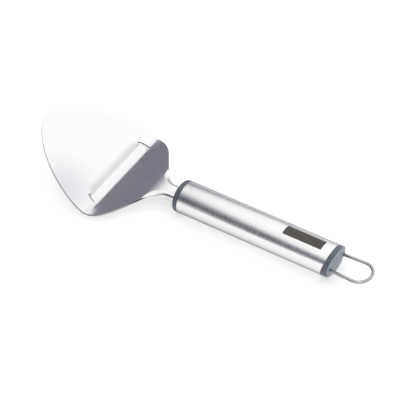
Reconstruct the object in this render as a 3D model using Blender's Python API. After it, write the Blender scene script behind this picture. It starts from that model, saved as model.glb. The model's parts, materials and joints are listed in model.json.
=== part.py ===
"""Cheese slicer: a stamped steel blade in a tubular steel handle with a wire hanging loop.

Frame: metres, +X from the blade's tip to the hanging loop, +Y across the blade, +Z up.
The origin is under the middle of the slicer, on the surface that the handle lies on.
"""

import math

import bmesh
import bpy
from mathutils import Vector

# Handle tube and its two plastic ends
TUBE_DIAMETER = 0.0220
TUBE_WALL = 0.0008
TUBE_LENGTH = 0.1102
TUBE_EDGE = 0.0002
COLLAR_BAND = 0.0038
COLLAR_SLANT = math.radians(5.0)
COLLAR_ROUND = 0.0014
COLLAR_SPIGOT = 0.0240
CAP_SEAM_SLANT = math.radians(18.0)
CAP_BAND = 0.0036
CAP_SHOULDER_LENGTH = 0.0012
CAP_SHOULDER_INSET = 0.0025
CAP_FACE_SLANT = math.radians(10.5)
CAP_DOME = 0.0009
CAP_SPIGOT = 0.0140
SPIGOT_CHAMFER = 0.0008

# Clearances: between a spigot, tang, pin or wire and its hole, and at the two visible seams
FIT_GAP = 0.0003
SEAM_GAP = 0.0002

# Blade, one sheet: a level neck, a sloping sole and a front plate that climbs away from the slot
SHEET = 0.0012
RIM_ROUND = 0.0003
NECK_RISE = 0.0018
NECK_RUN = 0.0144
NECK_BEND_RADIUS = 0.0750
SOLE_RUN = 0.0349
SOLE_SLOPE = math.radians(14.6)
VEE_RADIUS = 0.0040
FRONT_RUN = 0.0560
FRONT_SLOPE = math.radians(28.8)
TANG_LENGTH = 0.0220

# Blade outline, seen from above
NECK_HALF_WIDTH = 0.0056
BLADE_HALF_WIDTH = 0.0392
SHOULDER_RUN = 0.0139
SHOULDER_ANGLE = math.radians(53.0)
NECK_FILLET = 0.0140
CORNER_FILLET = 0.0240
FRONT_POWER = 1.64

# Folded edges of the neck and tang
FOLD_DEPTH = 0.0055
FOLD_RADIUS = 0.0030
FOLD_START_RUN = 0.0215
FOLD_BLEND = 0.0090

# Slot and the cutting lip that is pressed down through it
WINDOW_HALF_LENGTH = 0.0292
WINDOW_DEPTH = 0.0082
WINDOW_FLARE = 0.0019
WINDOW_FLARE_RUN = 0.0052
SLOT_SHIFT = 0.0012
SLIT = 0.0006
MOUTH_GAP = 0.0018
SLICE_DEPTH = 0.0012
JOGGLE_RUN = 0.0022
EDGE_THICKNESS = 0.00015
PRESS_RUN = 0.0034
PRESS_DEPTH = 0.0003
PRESS_FADE = 0.0040

# Cross pin that locks the tang in the collar
PIN_DIAMETER = 0.0024
PIN_RUN = 0.0130
PIN_CHAMFER = 0.0004

# Hanging loop
WIRE_DIAMETER = 0.0020
LEG_HALF_SPACING = 0.0077
LOOP_HALF_WIDTH = 0.0086
LOOP_REACH = 0.0253
LEG_STRAIGHT = 0.0015
HOOK_LENGTH = 0.0052
HOOK_RADIUS = 0.0022

# Smoothness of round forms
TURN_SEGMENTS = 96
PIN_SEGMENTS = 32
ROUNDING_STEPS = 6
DOME_STEPS = 4
BEND_STEPS = 6
FOLD_STEPS = 7
FOLD_ROWS = 18
PRESS_STEPS = 3
JOGGLE_STEPS = 4
FLARE_STEPS = 4
FRONT_STEPS = 15
FLAT_COLUMNS = 6
SLOT_END_COLUMN = 4
WIRE_STEP = math.radians(9.0)
CORNER_STEP = math.radians(22.5)
WIRE_RESOLUTION = 4
SHARP_ANGLE = math.radians(32.0)
WIRE_SPACING = 0.0030
CUTTER_OVERSHOOT = 0.0020

# Places worked out from the sizes
TUBE_RADIUS = TUBE_DIAMETER / 2
BORE_RADIUS = TUBE_RADIUS - TUBE_WALL
SPIGOT_RADIUS = BORE_RADIUS - FIT_GAP
AXIS_Z = TUBE_RADIUS
CAP_FACE_RUN = CAP_BAND + CAP_SHOULDER_LENGTH + CAP_DOME
BLADE_REACH = NECK_RUN + SOLE_RUN + FRONT_RUN
HANDLE_REACH = COLLAR_BAND + TUBE_LENGTH + CAP_FACE_RUN + LOOP_REACH
TIP_LEAN = SHEET * math.sin(FRONT_SLOPE)
TIP_X = TIP_LEAN - (TIP_LEAN + BLADE_REACH + HANDLE_REACH) / 2
VEE_X = TIP_X + FRONT_RUN
NECK_BEND_X = VEE_X + SOLE_RUN
THROAT_X = NECK_BEND_X + NECK_RUN
TANG_END_X = THROAT_X + TANG_LENGTH
TUBE_FRONT_X = THROAT_X + COLLAR_BAND
TUBE_REAR_X = TUBE_FRONT_X + TUBE_LENGTH
CAP_FACE_X = TUBE_REAR_X + CAP_FACE_RUN
LOOP_END_X = CAP_FACE_X + LOOP_REACH
NECK_TOP_Z = AXIS_Z + NECK_RISE
VEE_Z = NECK_TOP_Z - SOLE_RUN * math.tan(SOLE_SLOPE)
PIN_Z = NECK_TOP_Z - (SHEET + FOLD_DEPTH) / 2


def clear_scene():
    """Remove every object, so that the part stands alone."""
    for obj in list(bpy.data.objects):
        bpy.data.objects.remove(obj, do_unlink=True)


def principled(name, colour, metallic, roughness):
    """Return a plain Principled material."""
    material = bpy.data.materials.new(name)
    material.use_nodes = True
    shader = material.node_tree.nodes["Principled BSDF"]
    shader.inputs["Base Color"].default_value = (*colour, 1.0)
    shader.inputs["Metallic"].default_value = metallic
    shader.inputs["Roughness"].default_value = roughness
    material.diffuse_color = (*colour, 1.0)
    return material


def add_mesh_object(name, bm, material):
    """Turn a bmesh into a named, smoothly shaded object with its faces pointing out."""
    bmesh.ops.recalc_face_normals(bm, faces=bm.faces)
    mesh = bpy.data.meshes.new(name)
    bm.to_mesh(mesh)
    bm.free()
    mesh.shade_smooth()
    mesh.set_sharp_from_angle(angle=SHARP_ANGLE)
    obj = bpy.data.objects.new(name, mesh)
    if material is not None:
        mesh.materials.append(material)
    bpy.context.collection.objects.link(obj)
    return obj


def hide_guide(obj):
    """Mark an object as a cutter, which isn't a piece of the slicer."""
    obj.hide_render = True
    obj.display_type = "WIRE"


def cut(target, cutter):
    """Subtract a cutter from a piece."""
    modifier = target.modifiers.new(cutter.name, "BOOLEAN")
    modifier.operation = "DIFFERENCE"
    modifier.solver = "EXACT"
    modifier.object = cutter


def ring_verts(bm, x, radius, slant, segments):
    """Add one ring round the X axis, on a plane that leans along X by slant for each unit of Z."""
    verts = []
    for step in range(segments):
        angle = 2 * math.pi * step / segments - math.pi / 2
        y = radius * math.cos(angle)
        z = radius * math.sin(angle)
        verts.append(bm.verts.new((x + slant * z, y, z)))
    return verts


def bridge(bm, first, second):
    """Join two rings of as many points with a band of quads."""
    count = len(first)
    for index in range(count):
        following = (index + 1) % count
        bm.faces.new((first[index], first[following], second[following], second[index]))


def turned_solid(name, rings, material, hollow=False, segments=TURN_SEGMENTS):
    """Loft rings (x, radius, slant) into a solid round the handle's axis, closed by end faces.

    A hollow solid joins its last ring to its first one instead, as a tube's wall does.
    """
    bm = bmesh.new()
    loops = [ring_verts(bm, x, radius, slant, segments) for x, radius, slant in rings]
    for first, second in zip(loops, loops[1:]):
        bridge(bm, first, second)
    if hollow:
        bridge(bm, loops[-1], loops[0])
    else:
        bm.faces.new(loops[0])
        bm.faces.new(loops[-1])
    obj = add_mesh_object(name, bm, material)
    obj.location.z = AXIS_Z
    return obj


def quarter_round(steps):
    """Return (advance, inset) pairs from 0 to 1 along a quarter circle."""
    pairs = []
    for step in range(1, steps + 1):
        angle = math.pi / 2 * step / steps
        pairs.append((math.sin(angle), 1 - math.cos(angle)))
    return pairs


def rounded_path(corners, radii, step_angle):
    """Round the inner corners of an open 2-D path, and return its points.

    radii holds one value for each inner corner.
    """
    points = [Vector(corners[0])]
    for index, radius in enumerate(radii, start=1):
        corner = Vector(corners[index])
        back = (Vector(corners[index - 1]) - corner).normalized()
        ahead = (Vector(corners[index + 1]) - corner).normalized()
        turn = math.pi - back.angle(ahead)
        reach = radius * math.tan(turn / 2)
        centre = corner + (back + ahead).normalized() * radius / math.cos(turn / 2)
        start = corner + back * reach - centre
        side = math.copysign(1.0, start.cross(corner + ahead * reach - centre))
        steps = max(2, math.ceil(turn / step_angle))
        for step in range(steps + 1):
            angle = side * turn * step / steps
            cosine = math.cos(angle)
            sine = math.sin(angle)
            spoke = Vector((start.x * cosine - start.y * sine, start.x * sine + start.y * cosine))
            points.append(centre + spoke)
    points.append(Vector(corners[-1]))
    return points


class Bend:
    """A bend in the sheet, seen from the side, with its radius on the upper face."""

    def __init__(self, x, z, slope_before, slope_after, radius):
        """Take the corner where the two straight runs would meet."""
        self.slope_before = slope_before
        self.slope_after = slope_after
        self.radius = radius
        self.sense = math.copysign(1.0, slope_after - slope_before)
        reach = radius * math.tan(abs(slope_after - slope_before) / 2)
        self.start_x = x - reach * math.cos(slope_before)
        self.start_z = z - reach * math.sin(slope_before)
        self.end_x = x + reach * math.cos(slope_after)
        self.end_z = z + reach * math.sin(slope_after)

    def height_and_slope(self, x):
        """Return the upper face's height and slope at a place inside the bend."""
        sine = math.sin(self.slope_before) + self.sense * (x - self.start_x) / self.radius
        slope = math.asin(sine)
        fall = math.cos(slope) - math.cos(self.slope_before)
        return self.start_z - self.sense * self.radius * fall, slope

    def stations(self):
        """Return places along X that are spaced evenly round the bend."""
        places = []
        for step in range(BEND_STEPS + 1):
            share = step / BEND_STEPS
            slope = self.slope_before + (self.slope_after - self.slope_before) * share
            run = self.radius * (math.sin(slope) - math.sin(self.slope_before))
            places.append(self.start_x + self.sense * run)
        return places


VEE = Bend(VEE_X, VEE_Z, -FRONT_SLOPE, SOLE_SLOPE, VEE_RADIUS)
NECK_BEND = Bend(NECK_BEND_X, NECK_TOP_Z, SOLE_SLOPE, 0.0, NECK_BEND_RADIUS)

WINDOW_REAR_X = VEE.end_x
WINDOW_ROOT_X = WINDOW_REAR_X - WINDOW_DEPTH
SHOULDER_X = THROAT_X - SHOULDER_RUN
NECK_FILLET_END_X = SHOULDER_X + NECK_FILLET * math.tan(SHOULDER_ANGLE / 2)
CORNER_X = SHOULDER_X - (BLADE_HALF_WIDTH - NECK_HALF_WIDTH) / math.tan(SHOULDER_ANGLE)
WIDEST_X = CORNER_X - CORNER_FILLET * math.tan(SHOULDER_ANGLE / 2)
CORNER_END_X = WIDEST_X + CORNER_FILLET * math.sin(SHOULDER_ANGLE)
NECK_FILLET_START_X = NECK_FILLET_END_X - NECK_FILLET * math.sin(SHOULDER_ANGLE)
FOLD_START_X = THROAT_X - FOLD_START_RUN
PRESS_START_X = WINDOW_ROOT_X - PRESS_RUN
LIP_ROOT_HALF = WINDOW_HALF_LENGTH - WINDOW_FLARE - SLIT


def height_and_slope(x):
    """Return the height of the sheet's upper face at x, and its slope toward the handle."""
    if x <= VEE.start_x:
        return VEE.start_z + (VEE.start_x - x) * math.tan(FRONT_SLOPE), -FRONT_SLOPE
    if x < VEE.end_x:
        return VEE.height_and_slope(x)
    if x <= NECK_BEND.start_x:
        return NECK_BEND.start_z - (NECK_BEND.start_x - x) * math.tan(SOLE_SLOPE), SOLE_SLOPE
    if x < NECK_BEND.end_x:
        return NECK_BEND.height_and_slope(x)
    return NECK_TOP_Z, 0.0


def half_width(x):
    """Return half the blade's width at x: a superellipse in front, a filleted shoulder behind."""
    if x <= WIDEST_X:
        share = min((WIDEST_X - x) / (WIDEST_X - TIP_X), 1.0)
        return BLADE_HALF_WIDTH * (1 - share ** FRONT_POWER) ** (1 / FRONT_POWER)
    if x < CORNER_END_X:
        drop = math.sqrt(CORNER_FILLET ** 2 - (x - WIDEST_X) ** 2)
        return BLADE_HALF_WIDTH - CORNER_FILLET + drop
    if x < NECK_FILLET_START_X:
        return NECK_HALF_WIDTH + (SHOULDER_X - x) * math.tan(SHOULDER_ANGLE)
    if x < NECK_FILLET_END_X:
        drop = math.sqrt(NECK_FILLET ** 2 - (x - NECK_FILLET_END_X) ** 2)
        return NECK_HALF_WIDTH + NECK_FILLET - drop
    return NECK_HALF_WIDTH


def window_half(x):
    """Return half the slot's length at x: its ends flare out from the lip's root in a curve."""
    share = 1 - (x - WINDOW_ROOT_X) / WINDOW_FLARE_RUN
    return WINDOW_HALF_LENGTH - WINDOW_FLARE * min(max(share, 0.0), 1.0) ** 2


def outline_normal(x):
    """Return the direction, seen from above, that points square out of the outline at x."""
    step = SHEET / 10
    lean = (half_width(x + step) - half_width(x - step)) / (2 * step)
    return Vector((-lean, 1.0)).normalized()


def eased(share):
    """Return a share from 0 to 1 that starts and ends level."""
    share = min(max(share, 0.0), 1.0)
    return share * share * (3 - 2 * share)


def press_drop(x, y):
    """Return how far the plate is pressed down in front of the lip, y being from the slot's middle."""
    if not PRESS_START_X < x <= WINDOW_ROOT_X:
        return 0.0
    share = (x - PRESS_START_X) / PRESS_RUN
    inside = LIP_ROOT_HALF - abs(y)
    return PRESS_DEPTH * share ** 2 * eased(inside / PRESS_FADE)


def in_slot_rows(x):
    """Tell whether a row at x crosses the slot or the pressed place in front of it."""
    return PRESS_START_X - RIM_ROUND < x < WINDOW_REAR_X + RIM_ROUND


def fold_drop(x):
    """Return how far the folded edge reaches below the sheet's upper face at x.

    The fold's lower edge runs level along the neck, and the fold fades out into the sole.
    """
    depth = height_and_slope(x)[0] - NECK_TOP_Z + FOLD_DEPTH
    if depth < FOLD_RADIUS:
        depth = max(depth - SHEET, 0.0) / (1 - SHEET / FOLD_RADIUS)
    return depth * eased((x - FOLD_START_X) / FOLD_BLEND)


def folded_edge(x):
    """Return the edge's cross-section as (outward, down, tilt), from the flat part to the rim."""
    drop = fold_drop(x)
    sweep = math.acos(1 - min(drop, FOLD_RADIUS) / FOLD_RADIUS)
    length = FOLD_RADIUS * sweep + max(drop - FOLD_RADIUS, 0.0)
    if length < RIM_ROUND:
        return [(0.0, 0.0, 0.0)]
    section = []
    for step in range(FOLD_STEPS + 1):
        run = length * step / FOLD_STEPS
        tilt = min(run / FOLD_RADIUS, sweep)
        outward = FOLD_RADIUS * (math.sin(tilt) - math.sin(sweep))
        down = FOLD_RADIUS * (1 - math.cos(tilt)) + (run - FOLD_RADIUS * tilt)
        section.append((outward, down, tilt))
    return section


def sheet_pair(x, y, outward=0.0, down=0.0, tilt=0.0):
    """Return the sheet's upper and under points at a place on its outline or its flat part."""
    direction = outline_normal(x) if tilt or outward else Vector((0.0, 1.0))
    z, slope = height_and_slope(x + direction.x * outward)
    along = Vector((math.cos(slope), 0.0, math.sin(slope)))
    up = Vector((-math.sin(slope), 0.0, math.cos(slope)))
    side = along * direction.x + Vector((0.0, direction.y, 0.0))
    upper = Vector((x + direction.x * outward, y + direction.y * outward, z)) - up * down
    normal = up * math.cos(tilt) + side * math.sin(tilt)
    return upper, upper - normal * SHEET


def row_half(x):
    """Return the pairs of one row of the sheet, from its middle line out to its rim at +Y."""
    section = folded_edge(x)
    edge_y = half_width(x)
    normal = outline_normal(x)
    flat_y = edge_y + normal.y * section[0][0]
    lean = normal.x * section[0][0] / flat_y
    if in_slot_rows(x):
        window_y = window_half(x)
        lip_y = window_y - SLIT
        columns = [0.0, lip_y / 2, lip_y - PRESS_FADE, lip_y, window_y, (window_y + flat_y) / 2]
    else:
        columns = [flat_y * step / FLAT_COLUMNS for step in range(FLAT_COLUMNS)]
    pairs = [sheet_pair(x + lean * y, y, down=press_drop(x, y)) for y in columns]
    pairs.extend(sheet_pair(x, edge_y, *place) for place in section)
    return pairs


def row_stations():
    """Return the places along X of the sheet's rows, from behind the tip to the tang's end."""
    front_length = WIDEST_X - TIP_X
    places = []
    for step in range(FRONT_STEPS - 1, 0, -1):
        angle = math.pi / 2 * step / FRONT_STEPS
        x = WIDEST_X - front_length * math.sin(angle) ** (2 / FRONT_POWER)
        if x < PRESS_START_X - SHEET:
            places.append(x)
    places.extend(PRESS_START_X + PRESS_RUN * step / PRESS_STEPS for step in range(PRESS_STEPS))
    places.append(WINDOW_ROOT_X)
    flare_places = [WINDOW_ROOT_X + WINDOW_FLARE_RUN * step / FLARE_STEPS
                    for step in range(1, FLARE_STEPS + 1)]
    places.extend(x for x in flare_places if x < VEE.start_x - SHEET / 4)
    places.extend(VEE.stations())
    corner_places = [WIDEST_X + (CORNER_END_X - WIDEST_X) * step / BEND_STEPS
                     for step in range(1, BEND_STEPS + 1)]
    fold_places = [FOLD_START_X + (NECK_FILLET_END_X - FOLD_START_X) * step / FOLD_ROWS
                   for step in range(FOLD_ROWS + 1)]
    middle_places = [(CORNER_END_X + FOLD_START_X) / 2]
    end_places = [NECK_BEND.end_x, THROAT_X, TANG_END_X]
    for x in sorted(corner_places + middle_places + fold_places + end_places):
        if x > places[-1] + SHEET / 4:
            places.append(x)
    return places


class SheetCells:
    """Cells of a sheet, each with an upper and an under face, that close up into one solid."""

    def __init__(self):
        """Start without any cells."""
        self.bm = bmesh.new()
        self.pairs = []
        self.rim = set()
        self.cells = []

    def add_pair(self, upper, under, on_rim=False):
        """Add an upper and an under point, and return their number."""
        self.pairs.append((self.bm.verts.new(upper), self.bm.verts.new(under)))
        if on_rim:
            self.rim.add(len(self.pairs) - 1)
        return len(self.pairs) - 1

    def add_strip(self, first, second, open_span=None):
        """Fill the strip between two rows, leaving out the columns of open_span."""
        if len(first) == len(second):
            for column in range(len(first) - 1):
                if open_span and open_span[0] <= column < open_span[1]:
                    continue
                corners = (first[column], first[column + 1], second[column + 1], second[column])
                self.cells.append(corners)
            return
        extra = (len(second) - len(first)) // 2
        self.add_strip(first, second[extra:len(second) - extra], open_span)
        for column in range(extra):
            self.cells.append((first[0], second[column + 1], second[column]))
            mirrored = len(second) - 1 - column
            self.cells.append((first[-1], second[mirrored], second[mirrored - 1]))

    def solid(self, rim_round):
        """Close the cells into one body, round its outer rim, and return the bmesh."""
        edge_uses = {}
        for cell in self.cells:
            self.bm.faces.new([self.pairs[index][0] for index in cell])
            self.bm.faces.new([self.pairs[index][1] for index in reversed(cell)])
            for start, end in zip(cell, cell[1:] + cell[:1]):
                edge_uses.setdefault(frozenset((start, end)), []).append((start, end))
        rim_edges = []
        for uses in edge_uses.values():
            if len(uses) > 1:
                continue
            start, end = uses[0]
            upper_start, under_start = self.pairs[start]
            upper_end, under_end = self.pairs[end]
            self.bm.faces.new((upper_end, upper_start, under_start, under_end))
            if start in self.rim and end in self.rim:
                rim_edges.append(self.bm.edges.get((upper_start, upper_end)))
                rim_edges.append(self.bm.edges.get((under_start, under_end)))
        loose = [vert for vert in self.bm.verts if not vert.link_faces]
        bmesh.ops.delete(self.bm, geom=loose, context="VERTS")
        bmesh.ops.recalc_face_normals(self.bm, faces=self.bm.faces)
        bmesh.ops.bevel(self.bm, geom=rim_edges, offset=rim_round, offset_type="OFFSET",
                        segments=2, profile=0.5, affect="EDGES", clamp_overlap=True)
        return self.bm


def add_sheet_rows(sheet):
    """Add the plate, neck and tang to the sheet, and return the row at the lip's root."""
    tip = sheet.add_pair(*sheet_pair(TIP_X, 0.0), on_rim=True)
    stations = row_stations()
    window_columns = (FLAT_COLUMNS - SLOT_END_COLUMN, FLAT_COLUMNS + SLOT_END_COLUMN)
    slot_shift = Vector((0.0, SLOT_SHIFT, 0.0))
    previous = None
    root_row = None
    for x in stations:
        half = row_half(x)
        mirrored = [tuple(Vector((p.x, -p.y, p.z)) for p in pair) for pair in half[:0:-1]]
        row_pairs = mirrored + half
        if in_slot_rows(x):
            row_pairs[1:-1] = [tuple(p + slot_shift for p in pair) for pair in row_pairs[1:-1]]
        last = len(row_pairs) - 1
        at_tang_end = x == stations[-1]
        row = [sheet.add_pair(*pair, on_rim=at_tang_end or index in (0, last))
               for index, pair in enumerate(row_pairs)]
        if previous is None:
            for start, end in zip(row, row[1:]):
                sheet.cells.append((tip, end, start))
        else:
            in_window = WINDOW_ROOT_X < x < WINDOW_REAR_X + RIM_ROUND
            sheet.add_strip(previous, row, window_columns if in_window else None)
        if x == WINDOW_ROOT_X:
            root_row = row[window_columns[0] + 1:window_columns[1]]
        previous = row
    return root_row


def add_lip(sheet, root_row):
    """Add the lip: a joggle down from the front plate, then a strip ground to a cutting edge."""
    root_z, slope = height_and_slope(WINDOW_ROOT_X)
    along = Vector((math.cos(slope), 0.0, math.sin(slope)))
    down = Vector((math.sin(slope), 0.0, -math.cos(slope)))
    root = Vector((WINDOW_ROOT_X, 0.0, root_z))
    sole_z, sole_slope = height_and_slope(WINDOW_REAR_X)
    sole_under_z = sole_z - SHEET / math.cos(sole_slope)
    edge = Vector((WINDOW_REAR_X - MOUTH_GAP, 0.0, sole_under_z - SLICE_DEPTH))
    reach = (edge - root).dot(along)
    joggle_drop = (edge - root).dot(down) - SHEET
    shares = [step / JOGGLE_STEPS for step in range(1, JOGGLE_STEPS + 1)]
    section = [(JOGGLE_RUN * share, share, 0.0) for share in shares]
    section.append((reach, 1.0, SHEET - EDGE_THICKNESS))
    root_places = [sheet.pairs[index][0].co.y - SLOT_SHIFT for index in root_row]
    previous = root_row
    for advance, share, ground in section:
        row = []
        place = root + along * advance
        lip_y = window_half(place.x + down.x * (joggle_drop + SHEET)) - SLIT
        for root_y in root_places:
            press = press_drop(WINDOW_ROOT_X, root_y)
            lean = 2 * press * JOGGLE_RUN / PRESS_RUN
            drop = press + (joggle_drop - press) * eased(share) + lean * share * (1 - share) ** 2
            base = place + down * drop
            base.y = SLOT_SHIFT + root_y * lip_y / LIP_ROOT_HALF
            row.append(sheet.add_pair(base + down * ground, base + down * SHEET))
        sheet.add_strip(previous, row)
        previous = row


def pin_bore_cutter():
    """Make the cutter for the cross hole through the tang's folded edges and the collar."""
    radius = PIN_DIAMETER / 2 + FIT_GAP
    reach = TUBE_RADIUS + CUTTER_OVERSHOOT
    rings = [(-reach, radius, 0.0), (reach, radius, 0.0)]
    cutter = turned_solid("pin_bore_cutter", rings, None, segments=PIN_SEGMENTS)
    place_on_pin_axis(cutter)
    hide_guide(cutter)
    return cutter


def place_on_pin_axis(obj):
    """Turn a piece made along X onto the cross pin's axis, along Y."""
    obj.rotation_euler.z = math.pi / 2
    obj.location = (THROAT_X + PIN_RUN, 0.0, PIN_Z)


def channel_section(gap):
    """Return the folded neck's cross-section, grown by a gap, as (y, z) points."""
    outer_y = NECK_HALF_WIDTH + gap
    inner_y = NECK_HALF_WIDTH - SHEET - gap
    top_z = NECK_TOP_Z + gap
    inner_top_z = NECK_TOP_Z - SHEET - gap
    bottom_z = NECK_TOP_Z - FOLD_DEPTH - gap
    outer = [(-outer_y, bottom_z), (-outer_y, top_z), (outer_y, top_z), (outer_y, bottom_z)]
    corner = FOLD_RADIUS + gap
    section = rounded_path(outer, (corner, corner), CORNER_STEP)
    inner = [(inner_y, bottom_z), (inner_y, inner_top_z), (-inner_y, inner_top_z), (-inner_y, bottom_z)]
    inner_corner = FOLD_RADIUS - SHEET - gap
    return section + rounded_path(inner, (inner_corner, inner_corner), CORNER_STEP)


def tang_slot_cutter():
    """Make the cutter for the channel-shaped slot that the tang slides into."""
    bm = bmesh.new()
    section = channel_section(FIT_GAP)
    start_x = THROAT_X - CUTTER_OVERSHOOT
    length = CUTTER_OVERSHOOT * 2 + COLLAR_SPIGOT + COLLAR_BAND
    profile = bm.faces.new([bm.verts.new((start_x, point.x, point.y)) for point in section])
    grown = bmesh.ops.extrude_face_region(bm, geom=[profile])
    verts = [item for item in grown["geom"] if isinstance(item, bmesh.types.BMVert)]
    bmesh.ops.translate(bm, verts=verts, vec=(length, 0.0, 0.0))
    cutter = add_mesh_object("tang_slot_cutter", bm, None)
    hide_guide(cutter)
    return cutter


def slicer_blade(pin_bore, steel):
    """Make the blade: plate, slot with its cutting lip, sole, folded neck and tang."""
    sheet = SheetCells()
    root_row = add_sheet_rows(sheet)
    add_lip(sheet, root_row)
    blade = add_mesh_object("slicer_blade", sheet.solid(RIM_ROUND), steel)
    cut(blade, pin_bore)
    return blade


def front_collar(pin_bore, tang_slot, plastic):
    """Make the collar: a ring flush with the tube and a spigot that holds the tang."""
    slant = math.tan(COLLAR_SLANT)
    rings = []
    for advance, inset in reversed(quarter_round(ROUNDING_STEPS)):
        x = THROAT_X + COLLAR_ROUND * (1 - advance)
        rings.append((x, TUBE_RADIUS - COLLAR_ROUND * inset, slant))
    rings.append((THROAT_X + COLLAR_ROUND, TUBE_RADIUS, slant))
    seat_x = TUBE_FRONT_X - SEAM_GAP
    spigot_end_x = TUBE_FRONT_X + COLLAR_SPIGOT
    rings.append((seat_x, TUBE_RADIUS, slant))
    rings.append((seat_x, SPIGOT_RADIUS, slant))
    rings.append((spigot_end_x - SPIGOT_CHAMFER, SPIGOT_RADIUS, 0.0))
    rings.append((spigot_end_x, SPIGOT_RADIUS - SPIGOT_CHAMFER, 0.0))
    collar = turned_solid("front_collar", rings, plastic)
    cut(collar, tang_slot)
    cut(collar, pin_bore)
    return collar


def tang_pin(steel):
    """Make the cross pin, as long as the tube's bore lets it be at its own height."""
    radius = PIN_DIAMETER / 2
    lowest = AXIS_Z - PIN_Z + radius
    half_length = math.sqrt(BORE_RADIUS ** 2 - lowest ** 2) - FIT_GAP
    rings = [(-half_length, radius - PIN_CHAMFER, 0.0), (-half_length + PIN_CHAMFER, radius, 0.0),
             (half_length - PIN_CHAMFER, radius, 0.0), (half_length, radius - PIN_CHAMFER, 0.0)]
    pin = turned_solid("tang_pin", rings, steel, segments=PIN_SEGMENTS)
    place_on_pin_axis(pin)
    return pin


def handle_tube(steel):
    """Make the thin-walled tube, with each end cut at its own slant."""
    front_slant = math.tan(COLLAR_SLANT)
    rear_slant = math.tan(CAP_SEAM_SLANT)
    rings = [(TUBE_FRONT_X, TUBE_RADIUS - TUBE_EDGE, front_slant),
             (TUBE_FRONT_X + TUBE_EDGE, TUBE_RADIUS, front_slant),
             (TUBE_REAR_X - TUBE_EDGE, TUBE_RADIUS, rear_slant),
             (TUBE_REAR_X, TUBE_RADIUS - TUBE_EDGE, rear_slant),
             (TUBE_REAR_X, BORE_RADIUS, rear_slant),
             (TUBE_FRONT_X, BORE_RADIUS, front_slant)]
    return turned_solid("handle_tube", rings, steel, hollow=True)


def rear_cap(plastic):
    """Make the cap: a spigot, a slanted band flush with the tube and a softly domed end."""
    seam_slant = math.tan(CAP_SEAM_SLANT)
    face_slant = math.tan(CAP_FACE_SLANT)
    spigot_end_x = TUBE_REAR_X - CAP_SPIGOT
    seat_x = TUBE_REAR_X + SEAM_GAP
    crease_x = TUBE_REAR_X + CAP_BAND
    rings = [(spigot_end_x, SPIGOT_RADIUS - SPIGOT_CHAMFER, 0.0),
             (spigot_end_x + SPIGOT_CHAMFER, SPIGOT_RADIUS, 0.0),
             (seat_x, SPIGOT_RADIUS, seam_slant),
             (seat_x, TUBE_RADIUS, seam_slant),
             (crease_x, TUBE_RADIUS, seam_slant)]
    for advance, inset in quarter_round(ROUNDING_STEPS):
        slant = seam_slant + (face_slant - seam_slant) * advance
        x = crease_x + CAP_SHOULDER_LENGTH * advance
        rings.append((x, TUBE_RADIUS - CAP_SHOULDER_INSET * inset, slant))
    face_radius = TUBE_RADIUS - CAP_SHOULDER_INSET
    for step in range(1, DOME_STEPS):
        share = 1 - step / DOME_STEPS
        x = crease_x + CAP_SHOULDER_LENGTH + CAP_DOME * (1 - share * share)
        rings.append((x, face_radius * share, face_slant))
    cap = turned_solid("rear_cap", rings, plastic)
    for name, side in (("leg_bore_cutter_left", 1), ("leg_bore_cutter_right", -1)):
        cut(cap, leg_bore_cutter(name, side))
    return cap


def leg_bore_cutter(name, side):
    """Make the cutter for the hole that one leg of the wire passes through."""
    radius = WIRE_DIAMETER / 2 + FIT_GAP
    start_x = TUBE_REAR_X - CAP_SPIGOT - CUTTER_OVERSHOOT
    end_x = CAP_FACE_X + TUBE_RADIUS * math.tan(CAP_SEAM_SLANT) + CUTTER_OVERSHOOT
    cutter = turned_solid(name, [(start_x, radius, 0.0), (end_x, radius, 0.0)], None,
                          segments=PIN_SEGMENTS)
    cutter.location.y = side * LEG_HALF_SPACING
    hide_guide(cutter)
    return cutter


def spaced(points, longest):
    """Return the points of a path with more of them on any run that is over the longest one."""
    filled = [points[0]]
    for start, end in zip(points, points[1:]):
        count = max(1, math.ceil((end - start).length / longest))
        filled.extend(start.lerp(end, step / count) for step in range(1, count + 1))
    return filled


def loop_route():
    """Return the wire's centre line: hooked ends, straight legs and a round far end."""
    hook_x = TUBE_REAR_X - CAP_SPIGOT - FIT_GAP - WIRE_DIAMETER / 2
    bend_x = CAP_FACE_X + LEG_STRAIGHT
    end_x = LOOP_END_X - WIRE_DIAMETER / 2
    splay = math.atan2(LOOP_HALF_WIDTH - LEG_HALF_SPACING, end_x - bend_x)
    eye_radius = LOOP_HALF_WIDTH / math.tan((math.pi / 2 + splay) / 2)
    half = [(hook_x, LEG_HALF_SPACING - HOOK_LENGTH),
            (hook_x, LEG_HALF_SPACING),
            (bend_x, LEG_HALF_SPACING),
            (end_x, LOOP_HALF_WIDTH)]
    mirrored = [(x, -y) for x, y in reversed(half)]
    radii = (HOOK_RADIUS, LOOP_REACH, eye_radius, eye_radius, LOOP_REACH, HOOK_RADIUS)
    return spaced(rounded_path(half + mirrored, radii, WIRE_STEP), WIRE_SPACING)


def hanging_loop(steel):
    """Make the bent wire, its legs through the cap and its ends hooked in behind it."""
    curve = bpy.data.curves.new("hanging_loop", "CURVE")
    curve.dimensions = "3D"
    curve.bevel_depth = WIRE_DIAMETER / 2
    curve.bevel_resolution = WIRE_RESOLUTION
    curve.use_fill_caps = True
    route = loop_route()
    spline = curve.splines.new("POLY")
    spline.points.add(len(route) - 1)
    for place, point in zip(spline.points, route):
        place.co = (point.x, point.y, 0.0, 1.0)
    spline.use_smooth = True
    loop = bpy.data.objects.new("hanging_loop", curve)
    curve.materials.append(steel)
    loop.location.z = AXIS_Z
    bpy.context.collection.objects.link(loop)
    return loop


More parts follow.
